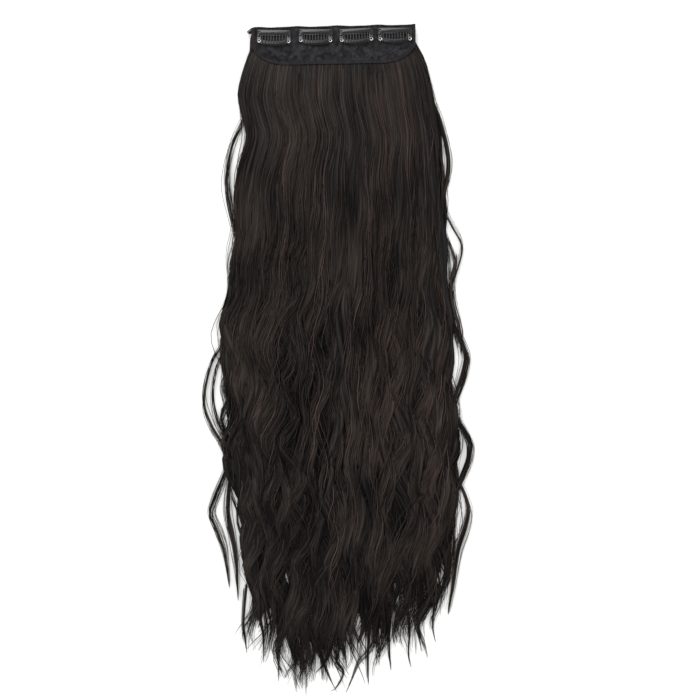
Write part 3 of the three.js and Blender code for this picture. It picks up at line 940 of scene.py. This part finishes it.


# Woven polyester: matt, with over and under threads; the embossed lines are painted lighter, a painted
# highlight on the raised relief
def wovenPolyester(name, colours, relief):
    material, tree = startMaterial(name)
    place = addNode(tree, "TexCoord")
    waves = []
    for axis in ("X", "Y"):
        waves.append(addNode(
            tree, "TexWave",
            {"bands_direction": axis, "Scale": wavesPerUnit / (cloth["thread"] * mm), "Distortion": 0.6,
             "Detail": 1.0},
            {"Vector": place.outputs["Object"]},
        ).outputs["Fac"])
    weave = addNode(tree, "Math", {"operation": "MULTIPLY"}, {0: waves[0], 1: waves[1]})
    cloud = addNode(tree, "TexNoise", {"Scale": 260.0, "Detail": 4.0}, {"Vector": place.outputs["Object"]})
    raised = addNode(tree, "Attribute", {"attribute_name": "raised"}).outputs["Fac"]
    mottle = addNode(tree, "Math", {"operation": "MULTIPLY_ADD", 1: 0.5},
                     {0: weave.outputs[0], 2: cloud.outputs["Fac"]})
    share = addNode(tree, "MapRange", {"From Min": 0.4, "From Max": 0.95}, {"Value": mottle.outputs[0]})
    # The raised value adds painted light: painted highlights on embossed lines, painted shade in the hem's
    # seam
    lit = addNode(tree, "Math", {"operation": "MULTIPLY_ADD", 1: 1.0}, {0: raised, 2: share.outputs[0]})
    dark, light = fromHex(colours["dark"]), fromHex(colours["light"])
    colour = addNode(tree, "Mix", {"data_type": "RGBA", 6: dark, 7: light}, {0: lit.outputs[0]})
    bump = addNode(tree, "Bump", {"Strength": 0.7, "Distance": relief * mm}, {"Height": mottle.outputs[0]})
    shader = addNode(
        tree, "BsdfPrincipled",
        {"Roughness": 0.85, "IOR": 1.5, "Specular IOR Level": 0.08, "Sheen Weight": 0.04,
         "Sheen Roughness": 0.5},
        {"Base Color": colour.outputs[2], "Normal": bump.outputs[0]},
    )
    addNode(tree, "OutputMaterial", {}, {"Surface": shader.outputs["BSDF"]})
    return material


# Spun polyester sewing thread: matt black with a little sheen
def spunThread():
    material, tree = startMaterial("spun polyester thread")
    strandMap = addNode(tree, "UVMap", {"uv_map": "strand"})
    twist = addNode(tree, "TexWave", {"bands_direction": "DIAGONAL", "Scale": 60.0},
                    {"Vector": strandMap.outputs["UV"]})
    colour = addNode(tree, "Mix", {"data_type": "RGBA", 6: fromHex("#18181a"), 7: fromHex("#2c2b2e")},
                     {0: twist.outputs["Fac"]})
    bump = addNode(tree, "Bump", {"Strength": 0.6, "Distance": 0.05 * mm}, {"Height": twist.outputs["Fac"]})
    shader = addNode(tree, "BsdfPrincipled", {"Roughness": 0.6, "IOR": 1.5, "Specular IOR Level": 0.25},
                     {"Base Color": colour.outputs[2], "Normal": bump.outputs[0]})
    addNode(tree, "OutputMaterial", {}, {"Surface": shader.outputs["BSDF"]})
    return material


# Half the flap's width at height y, for an outline that lies inset inside its edge
def flapHalf(y, inset):
    wide, high = weft["cornerWidth"] - inset, weft["cornerHeight"] - inset
    above = np.clip((y + weft["height"] - inset) / high, 0, 1)
    return weft["width"] / 2 - inset - wide + wide * np.sqrt(1 - (1 - above) ** 2)


# The flap's edge from its top left round to its top right, evenly spaced, with its outward direction
def flapEdge(inset, top, count):
    half, low = weft["width"] / 2 - inset, inset - weft["height"]
    wide, high = weft["cornerWidth"] - inset, weft["cornerHeight"] - inset
    turn = np.linspace(0, np.pi / 2, 60)
    corner = np.stack([half - wide + wide * np.cos(turn), low + high - high * np.sin(turn)], axis=1)
    rightSide = np.concatenate([[[half, top]], corner])
    edge = np.concatenate([rightSide * [-1, 1], rightSide[::-1]])
    run = np.concatenate([[0], np.cumsum(np.linalg.norm(np.diff(edge, axis=0), axis=1))])
    at = np.linspace(0, run[-1], count)
    points = np.stack([np.interp(at, run, edge[:, 0]), np.interp(at, run, edge[:, 1])], axis=1)
    along = np.gradient(points, axis=0)
    along /= np.linalg.norm(along, axis=1)[:, None]
    return points, np.stack([along[:, 1], -along[:, 0]], axis=1), run[-1]


motif = {
    "seed": 3,
    "apart": (17, 11),  # columns and rows of flowers
    "stray": (1.5, 1),
    "line": 0.36,  # half width of a raised line
    "petals": (4, 7),
    "flower": (2.2, 3.2),  # radius
    "leaves": 3,  # to a flower
    "leaf": (2.6, 4.2),  # half length
    "leafWide": 0.38,
}


def raisedLine(away, width=motif["line"]):
    return np.exp(-(away / width) ** 2)


# Raised lines of a plain all-over flower and leaf pattern, from 0 to 1
def embossed(x, y):
    raised = np.zeros_like(x)
    wide, high = motif["apart"]
    strayX, strayY = motif["stray"]
    motifDice = np.random.default_rng(motif["seed"])
    for row in range(-1, 5):
        for column in range(-6, 7):
            cx = (column + 0.5 * (row % 2)) * wide + motifDice.uniform(-strayX, strayX)
            cy = -2 - row * high + motifDice.uniform(-strayY, strayY)
            petals, size = motifDice.integers(*motif["petals"]), motifDice.uniform(*motif["flower"])
            dx, dy = x - cx, y - cy
            r, angle = np.hypot(dx, dy), np.arctan2(dy, dx) + motifDice.uniform(0, 6)
            rim = size * (0.5 + 0.5 * np.abs(np.cos(petals * angle / 2)))
            raised = np.maximum(raised, 0.8 * raisedLine(r - rim))
            raised = np.maximum(raised, 0.7 * raisedLine(r - 0.6))
            for _ in range(motif["leaves"]):  # an outline and a midrib each
                turn, reach = motifDice.uniform(0, 2 * math.pi), motifDice.uniform(*motif["leaf"])
                lx = cx + (size + reach) * math.cos(turn) * 1.1
                ly = cy + (size + reach) * math.sin(turn) * 0.7
                along = (x - lx) * math.cos(turn) + (y - ly) * math.sin(turn)
                aside = (y - ly) * math.cos(turn) - (x - lx) * math.sin(turn)
                shape = np.clip(1 - (along / reach) ** 2, 0, 1)
                inside = np.abs(along) < reach
                edge = raisedLine(np.abs(aside) - motif["leafWide"] * reach * shape) * inside
                rib = 0.7 * raisedLine(aside, 0.7 * motif["line"]) * inside
                raised = np.maximum(raised, np.maximum(edge, rib) * 0.9)
    return raised


def softRipple(x, y):
    waves = np.sin(x / 11 + 0.6) * np.cos(y / 9) + 0.6 * np.sin(x / 4.7 + y / 6 + 1)
    for middle, wide in cloth["puckers"]:
        waves += 2.2 * np.exp(-((x - middle) / wide) ** 2) * np.clip(1 + y / 24, 0, 1)
    return waves


# The edge of the picked sheet drawn down and closed with one flat face
def closeBelow(thickness):
    bpy.ops.object.mode_set(mode="EDIT")
    bpy.ops.mesh.select_mode(type="EDGE")
    bpy.ops.mesh.select_all(action="DESELECT")
    bpy.ops.mesh.select_non_manifold()
    bpy.ops.mesh.extrude_edges_move(TRANSFORM_OT_translate={"value": (0, 0, -thickness)})
    bpy.ops.transform.resize(value=(1, 1, 0))
    bpy.ops.mesh.edge_face_add()
    bpy.ops.mesh.select_all(action="SELECT")
    bpy.ops.mesh.normals_make_consistent(inside=False)
    bpy.ops.object.mode_set(mode="OBJECT")


# A grid from -1 to 1 both ways whose points shape moves to x, y and z on the weft
def clothGrid(name, cuts, shape, thickness, flatBelow=False):
    bpy.ops.mesh.primitive_grid_add(x_subdivisions=cuts[0], y_subdivisions=cuts[1], size=2)
    obj = bpy.context.object
    obj.name = name
    mesh = obj.data
    flat = np.zeros(len(mesh.vertices) * 3)
    mesh.vertices.foreach_get("co", flat)
    s, t = flat[0::3], flat[1::3]
    x, y, z, raised = shape(s, t)
    mesh.vertices.foreach_set("co", np.stack([x, y, z], axis=1).ravel())
    setValues(mesh, "raised", raised)
    pick(obj)
    if flatBelow:
        closeBelow(thickness)
    else:
        solid = obj.modifiers.new("thickness", "SOLIDIFY")
        solid.thickness = thickness
        solid.offset = -1
        bpy.ops.object.modifier_apply(modifier=solid.name)
    mesh.transform(weftPlace)
    mesh.shade_smooth()
    mesh.materials.clear()
    return obj


def flapShape(s, t):
    low = cloth["inset"] - weft["height"]
    y = low + (t + 1) / 2 * (cloth["top"] - low)
    x = s * flapHalf(y, cloth["inset"])
    # raised sets the relief and also the painted highlight on the raised lines
    raised = embossed(x, y)
    z = cloth["surface"] + cloth["ripple"] * softRipple(x, y) + cloth["emboss"] * (raised - 0.4)
    return x, y, z, raised


def hemShape(s, t):
    count = 700
    points, outward, length = flapEdge(hem["width"] / 2, -1.2, count)
    at = (s + 1) / 2 * (count - 1)
    place = [np.interp(at, np.arange(count), column) for column in (*points.T, *outward.T)]
    stitch = 2 * np.pi * (s + 1) / 2 * length / hem["stitch"]
    seam = raisedLine(t - hem["seam"], hem["seamHalf"])
    dome = 1 - 1.1 * np.clip((-t - 0.45) / 0.55, 0, 1) ** 2 - 0.3 * np.clip((t - 0.7) / 0.3, 0, 1)
    z = hem["surface"] - 0.5 + 0.5 * dome - 0.2 * seam * (0.6 + 0.4 * np.cos(stitch))
    z = z + 0.07 * np.sin(stitch / 3.3 + 4 * t) * (1 - np.abs(t))
    spread = -t * hem["width"] / 2 * (1 + 0.03 * np.sin(stitch / 5.1))
    # its last value lightens the tape evenly and puts painted shade in the groove that the seam draws in
    return place[0] + place[2] * spread, place[1] + place[3] * spread, z, 0.3 - 0.5 * seam


def addFlap():
    flapCloth = clothGrid("flapCloth", cloth["grid"], flapShape, cloth["thickness"], flatBelow=True)
    flapCloth.data.materials.append(wovenPolyester("woven polyester", cloth, cloth["relief"]))
    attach(flapCloth, "root")
    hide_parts("flap")
    hemTape = clothGrid("hemTape", hem["grid"], hemShape, hem["thickness"])
    hemTape.data.materials.append(wovenPolyester("polyester tape", hem, cloth["relief"]))
    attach(hemTape, "root")
    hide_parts("hem")
    return flapCloth, hemTape


rolled = {
    "stitch": 2.6,  # spacing of the stitches that draw it in
    "pinch": 0.13,
    "lift": 0.2,
    "endFrom": 72,  # its ends swell from here over endOver
    "endOver": 3,
    "endSwell": 0.25,
    "tailLong": 4.2,  # the left end is drawn out past the flap's corner, thinner and bent down
    "tailDrop": 3.6,
    "tailThin": 0.55,
}
rollMiddle = weft["clothBottom"] + weft["bindingRadius"]


# The low waves of the flap's top edge
def rollWave(x):
    return 0.35 * math.sin(2 * math.pi * x / 37 + 1.2) + 0.12 * math.sin(x / 2.9)


# The cloth's top edge rolled over and sewn down: a long thin cylinder drawn in at each stitch
def addRolledEdge():
    radius, length = weft["bindingRadius"], weft["width"]
    bpy.ops.mesh.primitive_cylinder_add(
        vertices=14, radius=radius, depth=length, location=(0, -radius, rollMiddle),
        rotation=(0, math.pi / 2, 0),
    )
    roll = pick(bpy.context.object)
    roll.name = "rolledEdge"
    bpy.ops.object.transform_apply(location=True, rotation=True, scale=True)
    bpy.ops.object.mode_set(mode="EDIT")
    shape = bmesh.from_edit_mesh(roll.data)
    for edge in shape.edges:
        a, b = (v.co for v in edge.verts)
        edge.select_set(abs(a.x - b.x) > length / 2)
    bmesh.update_edit_mesh(roll.data)
    bpy.ops.mesh.subdivide(number_cuts=220)
    bpy.ops.object.mode_set(mode="OBJECT")
    for v in roll.data.vertices:
        x, y, z = v.co.x, v.co.y + radius, v.co.z - rollMiddle
        size = 1 - rolled["pinch"] * (0.5 + 0.5 * math.cos(2 * math.pi * x / rolled["stitch"])) ** 3
        size *= 1 + rolled["endSwell"] * max(0, abs(x) - rolled["endFrom"]) / rolled["endOver"]
        tail = max(0, -rolled["endFrom"] - x) / rolled["endOver"]
        size *= 1 - rolled["tailThin"] * tail
        v.co.x = x - rolled["tailLong"] * tail
        v.co.y = y * size - radius + rollWave(x) - rolled["tailDrop"] * tail ** 2
        v.co.z = z * size + rollMiddle + rolled["lift"]
    setValues(roll.data, "raised", np.full(len(roll.data.vertices), -0.1))
    roll.data.transform(weftPlace)
    roll.data.shade_smooth()
    roll.data.materials.append(bpy.data.materials["woven polyester"])
    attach(roll, "root")
    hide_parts("binding")
    return roll


sewing = {"half": 0.13, "hemHalf": 0.17, "hemHigh": 0.2}  # of the thread, and how a hem stitch arches


def threadTube(points, half):
    return tube(np.array(points, float), half, roundSection(5), 0.0, 0.0, 0.0)


def addStitches():
    thread = spunThread()
    tubes = []
    marks = 900
    points, _, length = flapEdge(hem["width"] * hem["stitchLine"], -1.6, marks)
    count = int(length / hem["stitch"])
    for n in range(count):
        run = (n + np.linspace(0.14, 0.86, 7)) / count * (marks - 1)
        x, y = (np.interp(run, np.arange(marks), column) for column in points.T)
        z = hem["surface"] - 0.28 + sewing["hemHigh"] * np.sin(np.linspace(0, np.pi, 7))
        tubes.append(threadTube(np.stack([x, y, z], axis=1), sewing["hemHalf"]))
    reach = 0.87 * weft["bindingRadius"] + 0.07
    turn = np.linspace(0.15 * np.pi, 1.05 * np.pi, 9)
    last = int(rolled["endFrom"] / rolled["stitch"])
    for n in range(-last, last + 1):
        x = rolled["stitch"] * n
        y = -weft["bindingRadius"] + rollWave(x) + reach * np.cos(turn)
        z = rollMiddle + rolled["lift"] + reach * np.sin(turn)
        tubes.append(threadTube(np.stack([x + 0.9 * (turn / np.pi - 0.5), y, z], axis=1), sewing["half"]))
    return meshOfTubes("stitches", tubes, thread, weftPlace)


flapCloth, hemTape = addFlap()
rolledEdge = addRolledEdge()
stitches = addStitches()
cut = [[-weft["width"] / 2, 0]] + flapEdge(0, 0, 200)[0].tolist()

print("clips")

# One snap comb, drawn from the middle of its rail's top edge; heights are over the cloth
clip = {
    "half": 15.5,
    "rail": 3.8,
    "corner": 1.6,
    "arm": 4.0,
    "window": 0.9,  # radius of the frame's inner corners
    "drop": 10.2,  # from the rail's top edge to the rivets
    "steel": 0.4,
    "bevel": 0.1,
    "frameZ": 0.5,  # undersides of the frame, the bar and the rivets' heads
    "barZ": 1.05,
    "headZ": 1.6,
    "toothZ": 2.15,  # of the teeth where they cross the bar
    "dome": 0.1,
    "bow": 0.8,  # of the rail along its length
    "sewingHole": 0.6,
    "sewingHoles": (-1.5, -5.85),
    "rivetHole": 1.2,
    "sag": 2.2,  # of the bar below the rivets
    "barWidth": 4.2,
    "barBow": 0.4,
    "barCrown": 0.3,  # of the bar across its width
    "teeth": 9,
    "toothReach": 10.45,  # from the middle to the last tooth
    "toothWidth": 0.9,
    "tipWidth": 0.6,
    "rounding": 0.17,
    "overhang": 0.9,  # of the teeth past the bar
    "tipZ": 0.5,
    "spine": 1.2,
    "gap": 0.3,
}
foot = clip["half"] - clip["arm"] / 2  # from the middle to the rivets and the arms' middle
spineY = -clip["rail"] - clip["gap"] - clip["spine"] / 2


def arc(cx, cy, radius, start, end, count):
    turn = np.radians(np.linspace(start, end, count))
    return np.stack([cx + radius * np.cos(turn), cy + radius * np.sin(turn)], axis=1)


# A plate stamped from sheet steel: an outline with holes, its edges slightly rounded
def stampedPlate(name, outline, holes, z):
    curve = bpy.data.curves.new(name, "CURVE")
    curve.dimensions = "2D"
    curve.fill_mode = "BOTH"
    curve.extrude = clip["steel"] / 2 - clip["bevel"]
    curve.bevel_depth = clip["bevel"]
    curve.bevel_resolution = 1
    curve.offset = -clip["bevel"]
    for loop in (outline, *holes):
        spline = curve.splines.new("POLY")
        spline.points.add(len(loop) - 1)
        for point, (x, y) in zip(spline.points, loop):
            point.co = (x, y, 0, 1)
        spline.use_cyclic_u = True
    obj = addObject(name, curve)
    obj.location.z = z + clip["steel"] / 2
    pick(obj)
    bpy.ops.object.convert(target="MESH")
    bpy.ops.object.transform_apply(location=True, rotation=True, scale=True)
    return bpy.context.object


# Cuts across a plate, so that it can be pressed into a curve between them
def crossCuts(obj, axis, places):
    pick(obj)
    bpy.ops.object.mode_set(mode="EDIT")
    for place in places:
        bpy.ops.mesh.select_all(action="SELECT")
        bpy.ops.mesh.bisect(plane_co=[place * a for a in axis], plane_no=axis)
    mergeAndLeave()


def framePlate():
    half, rail, arm, drop, corner = (clip[k] for k in ("half", "rail", "arm", "drop", "corner"))
    window = clip["window"]
    rightHalf = np.concatenate([
        arc(half - corner, -corner, corner, 90, 0, 7),
        arc(foot, -drop, arm / 2, 0, -180, 15),
        arc(half - arm - window, -rail - window, window, 0, 90, 5),
    ])
    outline = np.concatenate([rightHalf, rightHalf[::-1] * [-1, 1]])
    holes = []
    for side in (-1, 1):
        holes.append(arc(side * foot, -drop, clip["rivetHole"], 0, 337.5, 16))
        holes += [arc(side * foot, y, clip["sewingHole"], 0, 330, 12) for y in clip["sewingHoles"]]
    plate = stampedPlate("clipFrame", outline, holes, clip["frameZ"])
    crossCuts(plate, (1, 0, 0), np.arange(-14, 14.1, 1.4))
    crossCuts(plate, (0, 1, 0), (-0.5, -1.0, -1.9, -2.8, -3.3, -5, -6.5, -8))
    for v in plate.data.vertices:
        across = min(1, abs(v.co.y + rail / 2) / (rail / 2))
        onRail = 1 - min(1, max(0, -v.co.y - rail) / 2)
        along = 1 - (v.co.x / half) ** 2
        bow = clip["bow"] * along * (1 - 0.35 * across ** 2)
        v.co.z += onRail * (clip["dome"] * (1 - across ** 2) + bow)
    return plate


def barEdge(x, side):
    end = -clip["drop"] + side * clip["arm"] / 2
    middle = -clip["drop"] - clip["sag"] + side * clip["barWidth"] / 2
    return middle + (end - middle) * (x / foot) ** 2


def barPlate():
    end = clip["arm"] / 2
    x = np.linspace(-foot, foot, 31)
    upper = np.stack([x, barEdge(x, 1)], axis=1)
    lower = np.stack([x, barEdge(x, -1)], axis=1)[::-1]
    outline = np.concatenate([
        upper,
        arc(foot, -clip["drop"], end, 75, -75, 11),
        lower,
        arc(-foot, -clip["drop"], end, -105, -255, 11),
    ])
    holes = [arc(side * foot, -clip["drop"], clip["rivetHole"], 0, 337.5, 16) for side in (-1, 1)]
    plate = stampedPlate("clipBar", outline, holes, clip["barZ"])
    crossCuts(plate, (1, 0, 0), np.arange(-11, 11.1, 1.1))
    crossCuts(plate, (0, 1, 0), (-10.5, -11.5, -12.5, -13.5))
    for v in plate.data.vertices:
        share = min(1, abs(v.co.x) / (foot - end))
        upper, lower = barEdge(v.co.x, 1), barEdge(v.co.x, -1)
        aside = (2 * v.co.y - upper - lower) / (upper - lower)
        v.co.z += (clip["barBow"] - clip["barCrown"] * aside ** 2) * (1 - share ** 2)
    return plate


# One tooth: a cube at the spine, its front face drawn out and bent over the bar in steps
def bentTooth(x):
    upper, lower, thick, top = barEdge(x, 1), barEdge(x, -1), clip["steel"], clip["toothZ"]
    start, tip = spineY - clip["spine"], lower - clip["overhang"]
    steps = (  # y and z, and how far it has narrowed towards the tip
        (start, clip["frameZ"] + thick, 0.1),
        ((start + upper) / 2, (clip["frameZ"] + thick + top) / 2 + 0.2, 0.25),
        (upper, top, 0.4),
        ((upper + lower) / 2, top + 0.12, 0.55),
        (lower + clip["gap"], top, 0.7),
        (lower - clip["overhang"] / 2, top - thick, 0.85),
        (tip, clip["tipZ"] + 0.5, 0.95),
        (tip - 0.05, clip["tipZ"], 1.0),
    )
    z = clip["frameZ"] + thick / 8
    bpy.ops.mesh.primitive_cube_add(size=1, location=(x, spineY, z + thick / 2))
    tooth = pick(bpy.context.object)
    tooth.dimensions = (clip["toothWidth"], clip["spine"] * 0.9, thick)
    bpy.ops.object.transform_apply(location=True, rotation=True, scale=True)
    bpy.ops.object.mode_set(mode="EDIT")
    selectFaces(tooth, lambda face: face.normal.y < -0.9)
    y, taper = spineY - clip["spine"] * 0.45, 0
    for nextY, nextZ, nextTaper in steps:
        width, nextWidth = (clip["toothWidth"] + (clip["tipWidth"] - clip["toothWidth"]) * k
                            for k in (taper, nextTaper))
        bpy.ops.mesh.extrude_region_move(TRANSFORM_OT_translate={"value": (0, nextY - y, nextZ - z)})
        bpy.ops.transform.resize(value=(nextWidth / width, 1, 1))
        y, z, taper = nextY, nextZ, nextTaper
    bpy.ops.object.mode_set(mode="OBJECT")
    return tooth


def combPlate():
    reach = clip["toothReach"]
    bpy.ops.mesh.primitive_cube_add(size=1, location=(0, spineY, clip["frameZ"] + clip["steel"] / 2))
    spine = pick(bpy.context.object)
    spine.name = "clipComb"
    spine.dimensions = (2 * reach + clip["toothWidth"], clip["spine"], clip["steel"])
    bpy.ops.object.transform_apply(location=True, rotation=True, scale=True)
    pieces = [spine] + [bentTooth(x) for x in np.linspace(-reach, reach, clip["teeth"]).tolist()]
    for piece in pieces:
        pick(piece)
        rounding = piece.modifiers.new("rounding", "BEVEL")
        rounding.width = clip["rounding"]
        rounding.segments = 2
        bpy.ops.object.modifier_apply(modifier=rounding.name)
    deselectAll()
    for piece in pieces:
        piece.select_set(True)
    bpy.context.view_layer.objects.active = spine
    bpy.ops.object.join()
    return spine


# A rivet's profile from the bore's foot round over the rolled head, as x and z; the head's z starts
# at its underside
rivetFoot = ((0.8, 0.15), (1.6, 0.15), (1.6, 0.35), (1.05, 0.35))
rivetHead = ((1.05, 0), (1.6, 0), (1.7, 0.12), (1.64, 0.26), (1.4, 0.42), (1.25, 0.5), (0.95, 0.46),
             (0.83, 0.32))


# A tubular rivet: its profile spun once round
def tubularRivet():
    profile = [*rivetFoot, *((x, clip["headZ"] + z) for x, z in rivetHead)]
    mesh = bpy.data.meshes.new("clipRivet")
    count = len(profile)
    mesh.from_pydata([(x, 0, z) for x, z in profile], [(n, (n + 1) % count) for n in range(count)], [])
    rivet = pick(addObject("clipRivet", mesh))
    bpy.ops.object.mode_set(mode="EDIT")
    bpy.ops.mesh.select_all(action="SELECT")
    bpy.ops.mesh.spin(steps=24, angle=2 * math.pi, center=(0, 0, 0), axis=(0, 0, 1))
    mergeAndLeave()
    return rivet


# Black baked enamel on spring steel: glossy, with the faint unevenness of a dipped coat
def bakedEnamel(name, gloss):
    material, tree = startMaterial(name)
    place = addNode(tree, "TexCoord")
    cloud = addNode(tree, "TexNoise", {"Scale": 420.0, "Detail": 3.0}, {"Vector": place.outputs["Object"]})
    colour = addNode(tree, "Mix", {"data_type": "RGBA", 6: fromHex("#0b0b0c"), 7: fromHex("#161518")},
                     {0: cloud.outputs["Fac"]})
    rough = addNode(tree, "MapRange", {"To Min": 0.2, "To Max": 0.3}, {"Value": cloud.outputs["Fac"]})
    bump = addNode(tree, "Bump", {"Strength": 0.25, "Distance": 0.05 * mm}, {"Height": cloud.outputs["Fac"]})
    shader = addNode(
        tree, "BsdfPrincipled",
        {"IOR": 1.55, "Specular IOR Level": gloss, "Coat Weight": gloss / 2, "Coat Roughness": 0.12},
        {"Base Color": colour.outputs[2], "Roughness": rough.outputs[0], "Normal": bump.outputs[0]},
    )
    addNode(tree, "OutputMaterial", {}, {"Surface": shader.outputs["BSDF"]})
    return material


# Bright nickel plate on brass tube: polished by the setting tool, with fine turning marks
def nickelPlate():
    material, tree = startMaterial("nickel plate")
    place = addNode(tree, "TexCoord")
    marks = addNode(tree, "TexNoise", {"Scale": 1500.0, "Detail": 2.0}, {"Vector": place.outputs["Object"]})
    rough = addNode(tree, "MapRange", {"To Min": 0.2, "To Max": 0.38}, {"Value": marks.outputs["Fac"]})
    colour = addNode(tree, "Mix", {"data_type": "RGBA", 6: fromHex("#8d8a86"), 7: fromHex("#cfcdc9")},
                     {0: marks.outputs["Fac"]})
    shader = addNode(tree, "BsdfPrincipled", {"Metallic": 1.0},
                     {"Base Color": colour.outputs[2], "Roughness": rough.outputs[0]})
    addNode(tree, "OutputMaterial", {}, {"Surface": shader.outputs["BSDF"]})
    return material


# Where a clip lies: its hinge is the rail's lower edge, and gives its direction too
def clipPlace(joint):
    along = -Vector(joint["axis"]).normalized()
    up = Vector((0, 0, 1))
    turn = Matrix((along, up.cross(along), up)).transposed().to_4x4()
    hinge = Vector((0, -clip["rail"], clip["frameZ"] + clip["steel"] / 2)) * mm
    return Matrix.Translation(Vector(joint["pos_m"]) - turn @ hinge) @ turn @ Matrix.Scale(mm, 4)


# Thread through each sewing hole and over the arm's outer edge into the cloth, three turns each
def sewingThreads():
    tubes = []
    turn = np.linspace(0, np.pi, 9)
    outer = clip["half"] + 0.5
    x = (foot + outer) / 2 - (outer - foot) / 2 * np.cos(turn)
    z = clip["frameZ"] - 0.3 + (clip["steel"] + 0.75) * np.sin(turn) ** 0.5
    for side in (-1, 1):
        for y in clip["sewingHoles"]:
            for n in (-1, 0, 1):
                line = np.stack([side * x, y + n * 0.28 * (1 - 0.4 * np.cos(turn)), z], axis=1)
                tubes.append(threadTube(line, sewing["half"]))
    return tubes


def addClips():
    # The comb and bar take a copy of the same enamel with half the gloss: painted shade
    enamel, dimmedEnamel = bakedEnamel("baked enamel", 0.4), bakedEnamel("dimmed baked enamel", 0.2)
    nickel = nickelPlate()
    masters = {"Frame": framePlate(), "Bar": barPlate(), "Comb": combPlate(), "Rivet": tubularRivet()}
    for master in masters.values():
        pick(master)
        bpy.ops.object.shade_smooth_by_angle(angle=math.radians(35))
    pieces = (  # piece, master, node, body, slot, material, place across
        ("Frame", "Frame", "frame", "root", "enamel", enamel, 0),
        ("Bar", "Bar", "bar", "root", "enamel", dimmedEnamel, 0),
        ("Comb", "Comb", "comb", "comb_{}", "enamel", dimmedEnamel, 0),
        ("RivetLeft", "Rivet", "rivet_left", "root", "rivet", nickel, -foot),
        ("RivetRight", "Rivet", "rivet_right", "root", "rivet", nickel, foot),
    )
    thread = bpy.data.materials["spun polyester thread"]
    for number, joint in enumerate(frame["joints"], 1):
        place = clipPlace(joint)
        for title, master, node, body, slot, material, x in pieces:
            mesh = masters[master].data.copy()
            mesh.transform(place @ Matrix.Translation((x, -clip["drop"] if x else 0, 0)))
            mesh.materials.append(material)
            obj = addObject(f"clip{number}{title}", mesh)
            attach(obj, body.format(number))
            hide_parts(f"clip_{number}_{node}")
        meshOfTubes(f"clip{number}Thread", sewingThreads(), thread, place)
    for master in masters.values():
        bpy.data.objects.remove(master)


addClips()
